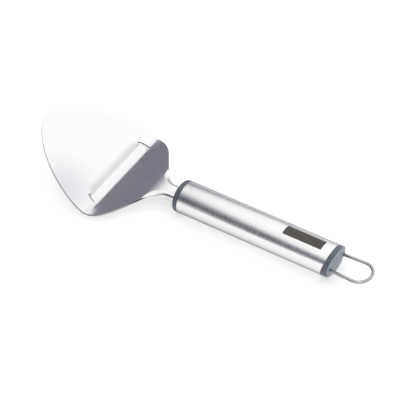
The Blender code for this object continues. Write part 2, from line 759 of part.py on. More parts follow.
def build():
    """Build the whole slicer."""
    clear_scene()
    blade_steel = principled("blade_steel", (0.76, 0.77, 0.80), 1.0, 0.28)
    tube_steel = principled("tube_steel", (0.70, 0.70, 0.72), 1.0, 0.32)
    wire_steel = principled("wire_steel", (0.80, 0.80, 0.82), 1.0, 0.12)
    slate_plastic = principled("slate_plastic", (0.085, 0.105, 0.135), 0.0, 0.42)
    pin_bore = pin_bore_cutter()
    tang_slot = tang_slot_cutter()
    slicer_blade(pin_bore, blade_steel)
    front_collar(pin_bore, tang_slot, slate_plastic)
    tang_pin(wire_steel)
    handle_tube(tube_steel)
    rear_cap(slate_plastic)
    hanging_loop(wire_steel)


build()
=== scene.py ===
"""Looks of the cheese slicer: a bent steel blade, a brushed tubular handle and a wire hanging loop.

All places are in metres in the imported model's frame: +X from the blade's tip to the loop, +Z up.
"""

import json
import logging
import math
from collections.abc import Mapping, Sequence
from dataclasses import dataclass, field
from enum import Enum

import bmesh
import bpy
from bmesh.types import BMEdge, BMesh, BMVert
from bpy.types import Material, Node, NodeSocket, NodeTree, Object
from mathutils import Matrix, Vector

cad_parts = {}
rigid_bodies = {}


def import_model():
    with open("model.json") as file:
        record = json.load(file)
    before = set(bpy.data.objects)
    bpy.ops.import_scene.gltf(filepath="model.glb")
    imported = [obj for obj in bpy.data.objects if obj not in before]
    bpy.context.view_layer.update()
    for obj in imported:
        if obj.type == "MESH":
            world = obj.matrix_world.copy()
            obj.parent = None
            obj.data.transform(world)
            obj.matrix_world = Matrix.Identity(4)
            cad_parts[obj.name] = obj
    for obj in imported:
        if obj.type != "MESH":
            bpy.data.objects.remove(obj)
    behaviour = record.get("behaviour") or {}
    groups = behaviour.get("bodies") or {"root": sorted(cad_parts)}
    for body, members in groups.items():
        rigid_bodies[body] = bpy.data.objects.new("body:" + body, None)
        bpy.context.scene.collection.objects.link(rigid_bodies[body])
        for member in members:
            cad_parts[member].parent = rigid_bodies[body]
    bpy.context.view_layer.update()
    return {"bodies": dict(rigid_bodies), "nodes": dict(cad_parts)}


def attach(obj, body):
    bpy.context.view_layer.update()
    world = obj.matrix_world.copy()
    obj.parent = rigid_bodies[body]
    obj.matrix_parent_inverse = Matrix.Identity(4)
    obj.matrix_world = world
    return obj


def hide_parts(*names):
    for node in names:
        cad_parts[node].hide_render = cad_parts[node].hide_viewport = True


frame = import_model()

log = logging.getLogger("cheese_slicer")

Colour = tuple[float, float, float]
Place = tuple[float, float, float]
Ring = tuple[float, float, float]
Stops = tuple[tuple[float, Colour], ...]
SheetPoint = tuple[Vector, Vector]

THROAT_X = -0.01956095
TUBE_FRONT_X = -0.01576095
TUBE_REAR_X = 0.09443905
TUBE_RADIUS = 0.0110
HANDLE_AXIS_Z = 0.0110
FRONT_LEAN = math.tan(math.radians(5.0))
REAR_LEAN = math.tan(math.radians(18.0))
REAR_SPIGOT_LENGTH = 0.0140
LEG_HALF_SPACING = 0.0077
FIT = 0.0003
PIN_X = -0.00656095
PIN_Z = 0.00945
PIN_BORE_RADIUS = 0.0015
BORE_SEGMENTS = 48
SHARP_ANGLE = math.radians(32.0)
FLATS_WEIGHT = 100
MIX_FIRST_COLOUR = 6
MIX_SECOND_COLOUR = 7
MIX_COLOUR_RESULT = 2


class Brush(Enum):
    """Which way the fine lines of a worked steel face run, as how fast the grain changes per axis."""

    ROUND_THE_HANDLE = (1.0, 0.09, 0.09)
    ALONG_THE_TOOL = (0.02, 1.0, 1.0)
    NONE = (1.0, 1.0, 1.0)


class SheetFace(Enum):
    """The kinds of face on the blade, as their places in its list of materials."""

    ROLLED = 0
    GROUND = 1
    RIM = 2


class NodeBench:
    """A node tree, with short ways to lay nodes and join them."""

    def __init__(self, tree: NodeTree) -> None:
        """Work on a node tree."""
        self.tree = tree

    def plug(self, node: Node, inputs: Mapping[str | int, object]) -> None:
        """Fill a node's inputs.

        Args:
            node: The node.
            inputs: What each input gets: another node's socket to link, or a plain value.
        """
        for key, value in inputs.items():
            if isinstance(value, NodeSocket):
                self.tree.links.new(value, node.inputs[key])
            else:
                node.inputs[key].default_value = value

    def add(self, kind: str, inputs: Mapping[str | int, object] | None = None,
            **settings: object) -> Node:
        """Add a node.

        Args:
            kind: The node's type name.
            inputs: What its inputs get.
            **settings: Properties to set on it.

        Returns:
            The new node.
        """
        node = self.tree.nodes.new(kind)
        for key, value in settings.items():
            setattr(node, key, value)
        self.plug(node, inputs or {})
        return node

    def ranged(self, source: NodeSocket, low: float = 0.0, high: float = 1.0, start: float = 0.3,
               end: float = 0.7) -> NodeSocket:
        """Stretch a socket's values from start..end to low..high.

        Args:
            source: The socket to read.
            low: The value that start becomes.
            high: The value that end becomes.
            start: The lower end of what is read.
            end: The upper end of what is read.

        Returns:
            The stretched socket.
        """
        span = {"Value": source, "From Min": start, "From Max": end, "To Min": low, "To Max": high}
        return self.add("ShaderNodeMapRange", span).outputs["Result"]

    def combined(self, operation: str, first: NodeSocket, second: NodeSocket,
                 of_colours: bool = False) -> NodeSocket:
        """Multiply or add two sockets.

        Args:
            operation: MULTIPLY or ADD.
            first: The one socket.
            second: The other socket.
            of_colours: Whether they hold colours and not numbers.

        Returns:
            The result's socket.
        """
        kind = "ShaderNodeVectorMath" if of_colours else "ShaderNodeMath"
        return self.add(kind, {0: first, 1: second}, operation=operation).outputs[0]

    def blended(self, share: NodeSocket, first: NodeSocket, second: Colour) -> NodeSocket:
        """Blend a colour that varies into a plain one, by a share from 0 to 1."""
        inputs = {"Factor": share, MIX_FIRST_COLOUR: first, MIX_SECOND_COLOUR: (*second, 1.0)}
        return self.add("ShaderNodeMix", inputs, data_type="RGBA").outputs[MIX_COLOUR_RESULT]

    def tinted(self, share: NodeSocket, first: Colour, second: Colour) -> NodeSocket:
        """Grade from a first colour to a second one, by a share from 0 to 1."""
        return self.graded(share, ((0.0, first), (1.0, second)))

    def graded(self, source: NodeSocket, stops: Stops) -> NodeSocket:
        """Read a colour off a graded strip.

        Args:
            source: Where on the strip to read.
            stops: The strip's marks in rising order, each with its colour.

        Returns:
            The colour's socket.
        """
        first, last = stops[0][0], stops[-1][0]
        ramp = self.add("ShaderNodeValToRGB", {"Fac": self.ranged(source, start=first, end=last)})
        marks = ramp.color_ramp.elements
        for _ in stops[2:]:
            marks.new(0.5)
        for mark, (place, colour) in zip(marks, stops):
            mark.position = (place - first) / (last - first)
            mark.color = (*colour, 1.0)
        return ramp.outputs["Color"]


class ShaderBench(NodeBench):
    """The nodes of one material."""

    def __init__(self, name: str) -> None:
        """Start a new material.

        Args:
            name: What the material is called.
        """
        self.material = bpy.data.materials.new(name)
        self.material.use_nodes = True
        super().__init__(self.material.node_tree)
        self.place = self.add("ShaderNodeTexCoord").outputs["Object"]

    def grain(self, lines_per_metre: float, brush: Brush = Brush.NONE, detail: float = 2.0,
              roughness: float = 0.5, seed: float = 0.0) -> NodeSocket:
        """Lay a noise that is drawn out into lines when it is brushed.

        Args:
            lines_per_metre: How fine the noise is.
            brush: Which way its lines run.
            detail: How many finer layers it has.
            roughness: How strong the finer layers are.
            seed: A shift that makes two grains differ.

        Returns:
            The noise's socket, from 0 to 1.
        """
        scale = [lines_per_metre * rate for rate in brush.value]
        mapping = self.add("ShaderNodeMapping",
                           {"Vector": self.place, "Location": (seed, seed, seed), "Scale": scale})
        noise = self.add("ShaderNodeTexNoise", {"Vector": mapping.outputs["Vector"], "Scale": 1.0,
                                                "Detail": detail, "Roughness": roughness})
        return noise.outputs["Fac"]

    def bump(self, height: NodeSocket, depth: float, strength: float) -> NodeSocket:
        """Turn a height from 0 to 1 into a bump of a depth in metres, which shows by its strength."""
        inputs = {"Height": height, "Distance": depth, "Strength": strength}
        return self.add("ShaderNodeBump", inputs).outputs["Normal"]

    def dressed(self, **inputs: object) -> Material:
        """Fill the shader's inputs.

        Args:
            **inputs: What each input gets, with _ for a space in its name.

        Returns:
            The dressed material.
        """
        named = {key.replace("_", " "): value for key, value in inputs.items()}
        self.plug(self.tree.nodes["Principled BSDF"], named)
        return self.material


@dataclass(frozen=True)
class BrushedSteel:
    """Stainless steel with fine lines from a brushing belt or wheel, and soft cloudy wear."""

    name: str
    brush: Brush
    dark: Colour
    light: Colour
    smoothest: float
    roughest: float
    lines_per_metre: float = 5200.0
    streaks_per_metre: float = 900.0
    clouds_per_metre: float = 45.0
    line_span: tuple[float, float] = (0.7, 1.3)
    cloud_span: tuple[float, float] = (0.3, 1.7)
    line_depth: float = 0.000004
    line_strength: float = 0.35
    edge_tint: Colour = (1.0, 1.0, 1.0)
    anisotropy: float = 0.0
    turn: float = 0.0
    # A soft spot of painted light or shade, blended into the steel's colour round one place.
    painted_spot_centre: Place | None = None
    painted_spot_reach: float = 0.031
    painted_spot_colour: Colour = (0.60, 0.595, 0.625)

    def material(self) -> Material:
        """Make the material.

        Returns:
            Steel whose lines show in its colour, its roughness and its bump.
        """
        bench = ShaderBench(self.name)
        lines = bench.grain(self.lines_per_metre, self.brush, detail=3.0, roughness=0.6)
        streaks = bench.grain(self.streaks_per_metre, self.brush, seed=3.1)
        clouds = bench.grain(self.clouds_per_metre, detail=3.0, seed=7.7)
        both = bench.ranged(bench.combined("ADD", lines, streaks), 0.0, 1.0, *self.line_span)
        wear_and_sheen = bench.ranged(bench.combined("ADD", both, clouds), 0.0, 1.0, *self.cloud_span)
        colour = bench.tinted(both, self.dark, self.light)
        if self.painted_spot_centre is not None:
            colour = self.painted_light_spot(bench, colour)
        if self.anisotropy:
            tangent = bench.add("ShaderNodeTangent", direction_type="RADIAL", axis="X")
            bench.dressed(Tangent=tangent.outputs["Tangent"])
        return bench.dressed(
            Metallic=1.0, Anisotropic=self.anisotropy, Anisotropic_Rotation=self.turn,
            Specular_Tint=(*self.edge_tint, 1.0), Base_Color=colour,
            Roughness=bench.ranged(wear_and_sheen, self.smoothest, self.roughest, 0.0, 1.0),
            Normal=bench.bump(lines, self.line_depth, self.line_strength))

    def painted_light_spot(self, bench: ShaderBench, colour: NodeSocket) -> NodeSocket:
        """Paint a soft spot of light or shade into the steel's colour round one place.

        Args:
            bench: The material's nodes.
            colour: The steel's colour.

        Returns:
            The colour with the painted spot in it.
        """
        away = bench.add("ShaderNodeVectorMath", {0: bench.place, 1: self.painted_spot_centre},
                         operation="DISTANCE")
        fade = {"Value": away.outputs["Value"], "From Max": self.painted_spot_reach, "To Min": 1.0,
                "To Max": 0.0}
        spot = bench.add("ShaderNodeMapRange", fade, interpolation_type="SMOOTHSTEP")
        return bench.blended(spot.outputs["Result"], colour, self.painted_spot_colour)


@dataclass(frozen=True)
class DrawnWire:
    """Bright stainless wire, with the faint lines that a drawing die leaves."""

    name: str = "drawn_wire"
    dark: Colour = (0.41, 0.395, 0.387)
    light: Colour = (0.54, 0.525, 0.517)
    smoothest: float = 0.03
    roughest: float = 0.07
    lines_per_metre: float = 3800.0
    smears_per_metre: float = 260.0
    line_depth: float = 0.000001
    line_strength: float = 0.3
    edge_tint: Colour = (0.0, 0.0, 0.0)

    def material(self) -> Material:
        """Make the material.

        Returns:
            A bright steel whose roughness and colour wander a little.
        """
        bench = ShaderBench(self.name)
        lines = bench.grain(self.lines_per_metre, Brush.ALONG_THE_TOOL)
        handled = bench.grain(self.smears_per_metre, detail=3.0, seed=2.3)
        return bench.dressed(
            Metallic=1.0, Specular_Tint=(*self.edge_tint, 1.0),
            Base_Color=bench.tinted(bench.ranged(handled), self.dark, self.light),
            Roughness=bench.ranged(handled, self.smoothest, self.roughest),
            Normal=bench.bump(lines, self.line_depth, self.line_strength))


@dataclass(frozen=True)
class MouldedPlastic:
    """Satin moulded plastic: a fine spark-eroded grain, slight mottling, handled shinier spots, and
    lighter edges that are partly wear and partly a painted highlight.
    """

    name: str
    dark: Colour
    light: Colour
    smoothest: float = 0.34
    roughest: float = 0.50
    grain_per_metre: float = 4200.0
    mottle_per_metre: float = 330.0
    grain_depth: float = 0.000018
    grain_strength: float = 0.5
    wear_and_sheen: Colour = (0.20, 0.225, 0.265)
    edge_wear_and_sheen: float = 0.55
    least_wear_and_sheen: float = 0.4
    edge_span: tuple[float, float] = (0.515, 0.56)

    def material(self) -> Material:
        """Make the material.

        Returns:
            A plastic with grain in its bump and variation in its colour and roughness.
        """
        bench = ShaderBench(self.name)
        grain = bench.grain(self.grain_per_metre)
        mottle = bench.grain(self.mottle_per_metre, detail=4.0, seed=5.9)
        # Sharp edges and creases are coloured lighter: partly wear, partly a painted highlight along
        # them.
        corners = bench.add("ShaderNodeNewGeometry").outputs["Pointiness"]
        edges = bench.ranged(corners, 0.0, self.edge_wear_and_sheen, *self.edge_span)
        share = bench.combined("MULTIPLY", edges, bench.ranged(mottle, self.least_wear_and_sheen))
        colour = bench.tinted(bench.ranged(mottle), self.dark, self.light)
        return bench.dressed(
            Base_Color=bench.blended(share, colour, self.wear_and_sheen),
            Roughness=bench.ranged(mottle, self.roughest, self.smoothest),
            Normal=bench.bump(grain, self.grain_depth, self.grain_strength))


@dataclass(frozen=True)
class EtchedPatch:
    """The plain dark patch on the tube: an oxide skin through which the brushing still shows."""

    name: str = "dark_patch"
    dark: Colour = (0.045, 0.040, 0.036)
    light: Colour = (0.105, 0.095, 0.085)
    smoothest: float = 0.36
    roughest: float = 0.52
    metal: float = 0.35
    lines_per_metre: float = 5200.0
    spots_per_metre: float = 900.0
    least_line: float = 0.4
    least_spot: float = 0.5
    line_depth: float = 0.000004
    line_strength: float = 0.35

    def material(self) -> Material:
        """Make the material.

        Returns:
            A dark skin with the lines of the brushed tube under it.
        """
        bench = ShaderBench(self.name)
        lines = bench.grain(self.lines_per_metre, Brush.ROUND_THE_HANDLE, detail=3.0)
        spots = bench.grain(self.spots_per_metre, detail=4.0, seed=1.3)
        both = bench.combined("MULTIPLY", bench.ranged(lines, self.least_line),
                              bench.ranged(spots, self.least_spot))
        return bench.dressed(
            Metallic=self.metal, Base_Color=bench.tinted(both, self.dark, self.light),
            Roughness=bench.ranged(spots, self.smoothest, self.roughest),
            Normal=bench.bump(lines, self.line_depth, self.line_strength))


# The rolled sheet's spot is painted shade: the plate is coloured darker and lavender toward its near
# corner.
ROLLED_SHEET = BrushedSteel(
    name="rolled_sheet", brush=Brush.ALONG_THE_TOOL, dark=(0.742, 0.740, 0.748),
    light=(0.762, 0.760, 0.768), smoothest=0.14, roughest=0.185, lines_per_metre=4200.0,
    streaks_per_metre=700.0, clouds_per_metre=35.0, line_strength=0.12, edge_tint=(0.35, 0.35, 0.37),
    painted_spot_centre=(-0.088, -0.035, 0.014))
GROUND_EDGE = BrushedSteel(
    name="ground_edge", brush=Brush.ALONG_THE_TOOL, dark=(0.92, 0.917, 0.908),
    light=(0.96, 0.957, 0.948), smoothest=0.20, roughest=0.28, lines_per_metre=6500.0,
    streaks_per_metre=1600.0, line_strength=0.2)
# The rims are coloured near black: a dull sheared edge, darkened further with painted shade for the
# dark line along the outline and slot. Its spot on the sole's near rim is a painted highlight.
SHEARED_RIM_AND_PAINTED_SHADE = BrushedSteel(
    name="sheared_rim_and_painted_shade", brush=Brush.NONE, dark=(0.055, 0.053, 0.051), light=(0.11, 0.107, 0.103),
    smoothest=0.24, roughest=0.36, lines_per_metre=2600.0, line_strength=0.2,
    painted_spot_centre=(-0.050, -0.036, 0.006), painted_spot_reach=0.024, painted_spot_colour=(0.42, 0.41, 0.40))
BRUSHED_TUBE = BrushedSteel(
    name="brushed_tube", brush=Brush.ROUND_THE_HANDLE, dark=(0.80, 0.795, 0.80),
    light=(0.88, 0.875, 0.875), smoothest=0.185, roughest=0.315, streaks_per_metre=2100.0,
    edge_tint=(0.28, 0.28, 0.30), anisotropy=0.7, turn=0.25)
CUT_TUBE_END = BrushedSteel(
    name="cut_tube_end", brush=Brush.NONE, dark=(0.74, 0.74, 0.75), light=(0.88, 0.88, 0.88),
    smoothest=0.2, roughest=0.32)
SLATE_BAND = MouldedPlastic(
    name="slate_plastic", dark=(0.060, 0.072, 0.092), light=(0.082, 0.098, 0.122))
# Painted light: the cap's end face is coloured a lighter blue-gray than its band, for the light that
# the face catches, and is rougher.
PAINTED_LIT_FACE = MouldedPlastic(
    name="painted_lit_plastic", dark=(0.22, 0.26, 0.32), light=(0.42, 0.46, 0.52),
    smoothest=0.42, roughest=0.60, mottle_per_metre=700.0)


def kept_crisp(mesh: bpy.types.Mesh) -> None:
    """Shade a mesh smooth, apart from its sharp edges."""
    mesh.shade_smooth()
    mesh.set_sharp_from_angle(angle=SHARP_ANGLE)


def shown(name: str, bm: BMesh, finishes: Sequence[Material] = ()) -> Object:
    """Turn a bmesh into an object.

    Args:
        name: The object's name.
        bm: Its mesh, in the row frame. It is freed.
        finishes: Its materials, in the order of the faces' material numbers.

    Returns:
        The new object.
    """
    bmesh.ops.recalc_face_normals(bm, faces=bm.faces)
    mesh = bpy.data.meshes.new(name)
    bm.to_mesh(mesh)
    bm.free()
    for finish in finishes:
        mesh.materials.append(finish)
    kept_crisp(mesh)
    piece = bpy.data.objects.new(name, mesh)
    bpy.context.scene.collection.objects.link(piece)
    return piece


def carved(piece: Object, cutters: Sequence[Object]) -> None:
    """Cut other bodies out of a piece for good, and let its large faces keep their flat shading.

    Args:
        piece: What is cut.
        cutters: The bodies that are cut out of it. They are removed.
    """
    for cutter in cutters:
        modifier = piece.modifiers.new(cutter.name, "BOOLEAN")
        modifier.operation = "DIFFERENCE"
        modifier.solver = "EXACT"
        modifier.object = cutter
    graph = bpy.context.evaluated_depsgraph_get()
    piece_mesh = bpy.data.meshes.new_from_object(piece.evaluated_get(graph), depsgraph=graph)
    piece.modifiers.clear()
    piece.data = piece_mesh
    piece_mesh.name = piece.name
    kept_crisp(piece_mesh)
    for cutter in cutters:
        bpy.data.objects.remove(cutter, do_unlink=True)
    flats = piece.modifiers.new("flats", "WEIGHTED_NORMAL")
    flats.keep_sharp = True
    flats.weight = FLATS_WEIGHT


def handed_over(piece: Object, node: str) -> None:
    """Put a finished piece in a CAD node's place.

    Args:
        piece: The finished piece.
        node: The CAD node that it stands for.
    """
    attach(piece, "root")
    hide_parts(node)


def spaced(start: float, end: float, steps: int) -> list[float]:
    """Return the values from start to end in even steps, with both ends."""
    return [start + (end - start) * step / steps for step in range(steps + 1)]


def lofted(rings: Sequence[Sequence[Place | Vector]], hollow: bool = False) -> BMesh:
    """Join rings of as many points each into one closed body.

    Args:
        rings: The places of each ring's points.
        hollow: Whether the last ring joins the first one, as a tube's wall does.

    Returns:
        The body.
    """
    bm = bmesh.new()
    loops = [[bm.verts.new(place) for place in ring] for ring in rings]
    pairs = list(zip(loops, loops[1:]))
    if hollow:
        pairs.append((loops[-1], loops[0]))
    else:
        bm.faces.new(loops[0])
        bm.faces.new(loops[-1])
    for first, second in pairs:
        for step in range(len(first)):
            after = (step + 1) % len(first)
            bm.faces.new((first[step], first[after], second[after], second[step]))
    return bm


def turned(rings: Sequence[Ring], segments: int, hollow: bool = False, y: float = 0.0) -> BMesh:
    """Turn a closed body round a line along X, at the height of the handle's axis.

    Args:
        rings: Each ring's place along X, radius and lean along X per metre of height.
        segments: How many points a ring has.
        hollow: Whether the last ring joins the first one.
        y: Where the line lies across the handle.

    Returns:
        The body.
    """
    angles = spaced(-math.pi / 2, 3 * math.pi / 2, segments)[:-1]
    spokes = [(math.cos(angle), math.sin(angle)) for angle in angles]
    return lofted([[(x + lean * (radius * rise), y + radius * side, HANDLE_AXIS_Z + radius * rise)
                    for side, rise in spokes] for x, radius, lean in rings], hollow)


def quarter_round(x: float, length: float, inset: float, leans: tuple[float, float],
                  steps: int) -> list[Ring]:
    """Round a turned body off, from the tube's radius inward.

    Args:
        x: Where the round starts.
        length: How far it runs along X, below 0 where it runs toward the blade.
        inset: How far in it runs.
        leans: The rings' lean where it starts and where it ends.
        steps: How many steps it takes.

    Returns:
        The round's rings.
    """
    return [(x + length * math.sin(angle), TUBE_RADIUS - inset * (1 - math.cos(angle)),
             leans[0] + (leans[1] - leans[0]) * math.sin(angle))
            for angle in spaced(0.0, math.pi / 2, steps)]


def unslanted(place: Vector, lean: float) -> float:
    """Return a place's X with the slant of a turned body's end taken out."""
    return place.x - lean * (place.z - HANDLE_AXIS_Z)


def rounded_path(corners: Sequence[tuple[float, float]], radii: Sequence[float],
                 step_angle: float) -> list[Vector]:
    """Round the inner corners of an open path.

    Args:
        corners: The path's corners.
        radii: The radius at each inner corner.
        step_angle: The most that one step may turn.

    Returns:
        The points of the rounded path.
    """
    points = [Vector(corners[0])]
    for index, radius in enumerate(radii, start=1):
        corner = Vector(corners[index])
        back = (Vector(corners[index - 1]) - corner).normalized()
        ahead = (Vector(corners[index + 1]) - corner).normalized()
        turn = math.pi - back.angle(ahead)
        reach = radius * math.tan(turn / 2)
        centre = corner + (back + ahead).normalized() * radius / math.cos(turn / 2)
        start = corner + back * reach - centre
        side = math.copysign(1.0, start.cross(corner + ahead * reach - centre))
        steps = max(2, math.ceil(turn / step_angle))
        for angle in spaced(0.0, side * turn, steps):
            spoke = Vector(start)
            spoke.rotate(Matrix.Rotation(angle, 2))
            points.append(centre + spoke)
    points.append(Vector(corners[-1]))
    return points


def cross_bore() -> Object:
    """Make the body that the cross pin's hole is cut with, through the tang and the collar.

    Returns:
        The cutter.
    """
    reach = TUBE_RADIUS + PIN_BORE_RADIUS
    bm = turned([(-reach, PIN_BORE_RADIUS, 0.0), (reach, PIN_BORE_RADIUS, 0.0)], BORE_SEGMENTS)
    quarter_turn = Matrix.Rotation(math.pi / 2, 3, "Z")
    bmesh.ops.rotate(bm, verts=bm.verts, cent=(0.0, 0.0, 0.0), matrix=quarter_turn)
    bmesh.ops.translate(bm, verts=bm.verts, vec=(PIN_X, 0.0, PIN_Z - HANDLE_AXIS_Z))
    return shown("cross_bore", bm)


def leaned(slope: float) -> tuple[Vector, Vector]:
    """Return the directions along the sheet and up out of it, where it lies at a slope."""
    rise, run = math.sin(slope), math.cos(slope)
    return Vector((run, 0.0, rise)), Vector((-rise, 0.0, run))


def eased(share: float) -> float:
    """Return a share from 0 to 1 that starts and ends level."""
    share = min(max(share, 0.0), 1.0)
    return share * share * (3 - 2 * share)


@dataclass
class SheetBend:
    """A bend in the sheet, seen from the side, with its radius on the upper face."""

    x: float
    z: float
    slope_before: float
    slope_after: float
    radius: float
    steps: int = 14
    start_x: float = field(init=False)
    start_z: float = field(init=False)
    end_x: float = field(init=False)
    sense: float = field(init=False)

    def __post_init__(self) -> None:
        """Find where the bend starts and ends."""
        reach = self.radius * math.tan(abs(self.slope_after - self.slope_before) / 2)
        self.sense = math.copysign(1.0, self.slope_after - self.slope_before)
        self.start_x = self.x - reach * math.cos(self.slope_before)
        self.start_z = self.z - reach * math.sin(self.slope_before)
        self.end_x = self.x + reach * math.cos(self.slope_after)

    def height_and_slope(self, x: float) -> tuple[float, float]:
        """Read the bend.

        Args:
            x: A place inside the bend.

        Returns:
            The upper face's height and slope there.
        """
        share = self.sense * (x - self.start_x) / self.radius
        slope = math.asin(math.sin(self.slope_before) + share)
        fall = math.cos(slope) - math.cos(self.slope_before)
        return self.start_z - self.sense * self.radius * fall, slope

    def stations(self) -> list[float]:
        """Return places along X that are spaced evenly round the bend."""
        base = math.sin(self.slope_before)
        return [self.start_x + self.sense * self.radius * (math.sin(slope) - base)
                for slope in spaced(self.slope_before, self.slope_after, self.steps)]


class SheetCells:
    """Cells of a sheet, each with an upper and an under face, that close up into one solid."""

    def __init__(self) -> None:
        """Start without any cells."""
        self.bm = bmesh.new()
        self.pairs: list[tuple[BMVert, BMVert]] = []
        self.rim: set[int] = set()
        self.lip: set[int] = set()
        self.cells: list[tuple[tuple[int, ...], SheetFace]] = []

    def add_pair(self, pair: SheetPoint, on_rim: bool = False, on_lip: bool = False) -> int:
        """Add an upper and an under point.

        Args:
            pair: The two points.
            on_rim: Whether they lie on the blade's outer rim.
            on_lip: Whether they lie on the cutting lip.

        Returns:
            The pair's number.
        """
        self.pairs.append((self.bm.verts.new(pair[0]), self.bm.verts.new(pair[1])))
        number = len(self.pairs) - 1
        if on_rim:
            self.rim.add(number)
        if on_lip:
            self.lip.add(number)
        return number

    def add_strip(self, first: Sequence[int], second: Sequence[int], gap: range = range(0),
                  kind: SheetFace = SheetFace.ROLLED) -> None:
        """Fill the strip between two rows of pairs.

        Args:
            first: The first row.
            second: The second row, as long as the first or longer by as much at each end.
            gap: The columns that stay open.
            kind: The kind of face that the upper side has.
        """
        extra = (len(second) - len(first)) // 2
        inner = second[extra:len(second) - extra]
        for column in range(len(first) - 1):
            if column not in gap:
                corners = (first[column], first[column + 1], inner[column + 1], inner[column])
                self.cells.append((corners, kind))
        for column in range(extra):
            mirrored = len(second) - 1 - column
            self.cells.append(((first[0], second[column + 1], second[column]), kind))
            self.cells.append(((first[-1], second[mirrored], second[mirrored - 1]), kind))

    def closed(self, rim_round: float, slot_round: float, steps: int) -> BMesh:
        """Close the cells into one body and round its edges.

        Args:
            rim_round: The radius along the outer rim.
            slot_round: The radius along the slot.
            steps: How many faces a round takes.

        Returns:
            The finished body.
        """
        uses: dict[frozenset[int], list[tuple[int, int]]] = {}
        for cell, kind in self.cells:
            upper = self.bm.faces.new([self.pairs[index][0] for index in cell])
            upper.material_index = kind.value
            self.bm.faces.new([self.pairs[index][1] for index in reversed(cell)])
            for start, end in zip(cell, cell[1:] + cell[:1]):
                uses.setdefault(frozenset((start, end)), []).append((start, end))
        rim_edges: list[BMEdge] = []
        slot_edges: list[BMEdge] = []
        for (start, end), *others in uses.values():
            if others:
                continue
            starts, ends = self.pairs[start], self.pairs[end]
            wall = self.bm.faces.new((ends[0], starts[0], starts[1], ends[1]))
            wall.material_index = SheetFace.RIM.value
            edges = [self.bm.edges.get((starts[side], ends[side])) for side in (0, 1)]
            if start in self.rim and end in self.rim:
                rim_edges.extend(edges)
            elif start not in self.lip and end not in self.lip:
                slot_edges.extend(edges)
        bmesh.ops.recalc_face_normals(self.bm, faces=self.bm.faces)
        for edges, radius in ((rim_edges, rim_round), (slot_edges, slot_round)):
            bmesh.ops.bevel(self.bm, geom=edges, offset=radius, offset_type="OFFSET", segments=steps,
                            profile=0.5, affect="EDGES", clamp_overlap=True,
                            material=SheetFace.RIM.value)
        loose = [vert for vert in self.bm.verts if not vert.link_faces]
        bmesh.ops.delete(self.bm, geom=loose, context="VERTS")
        return self.bm


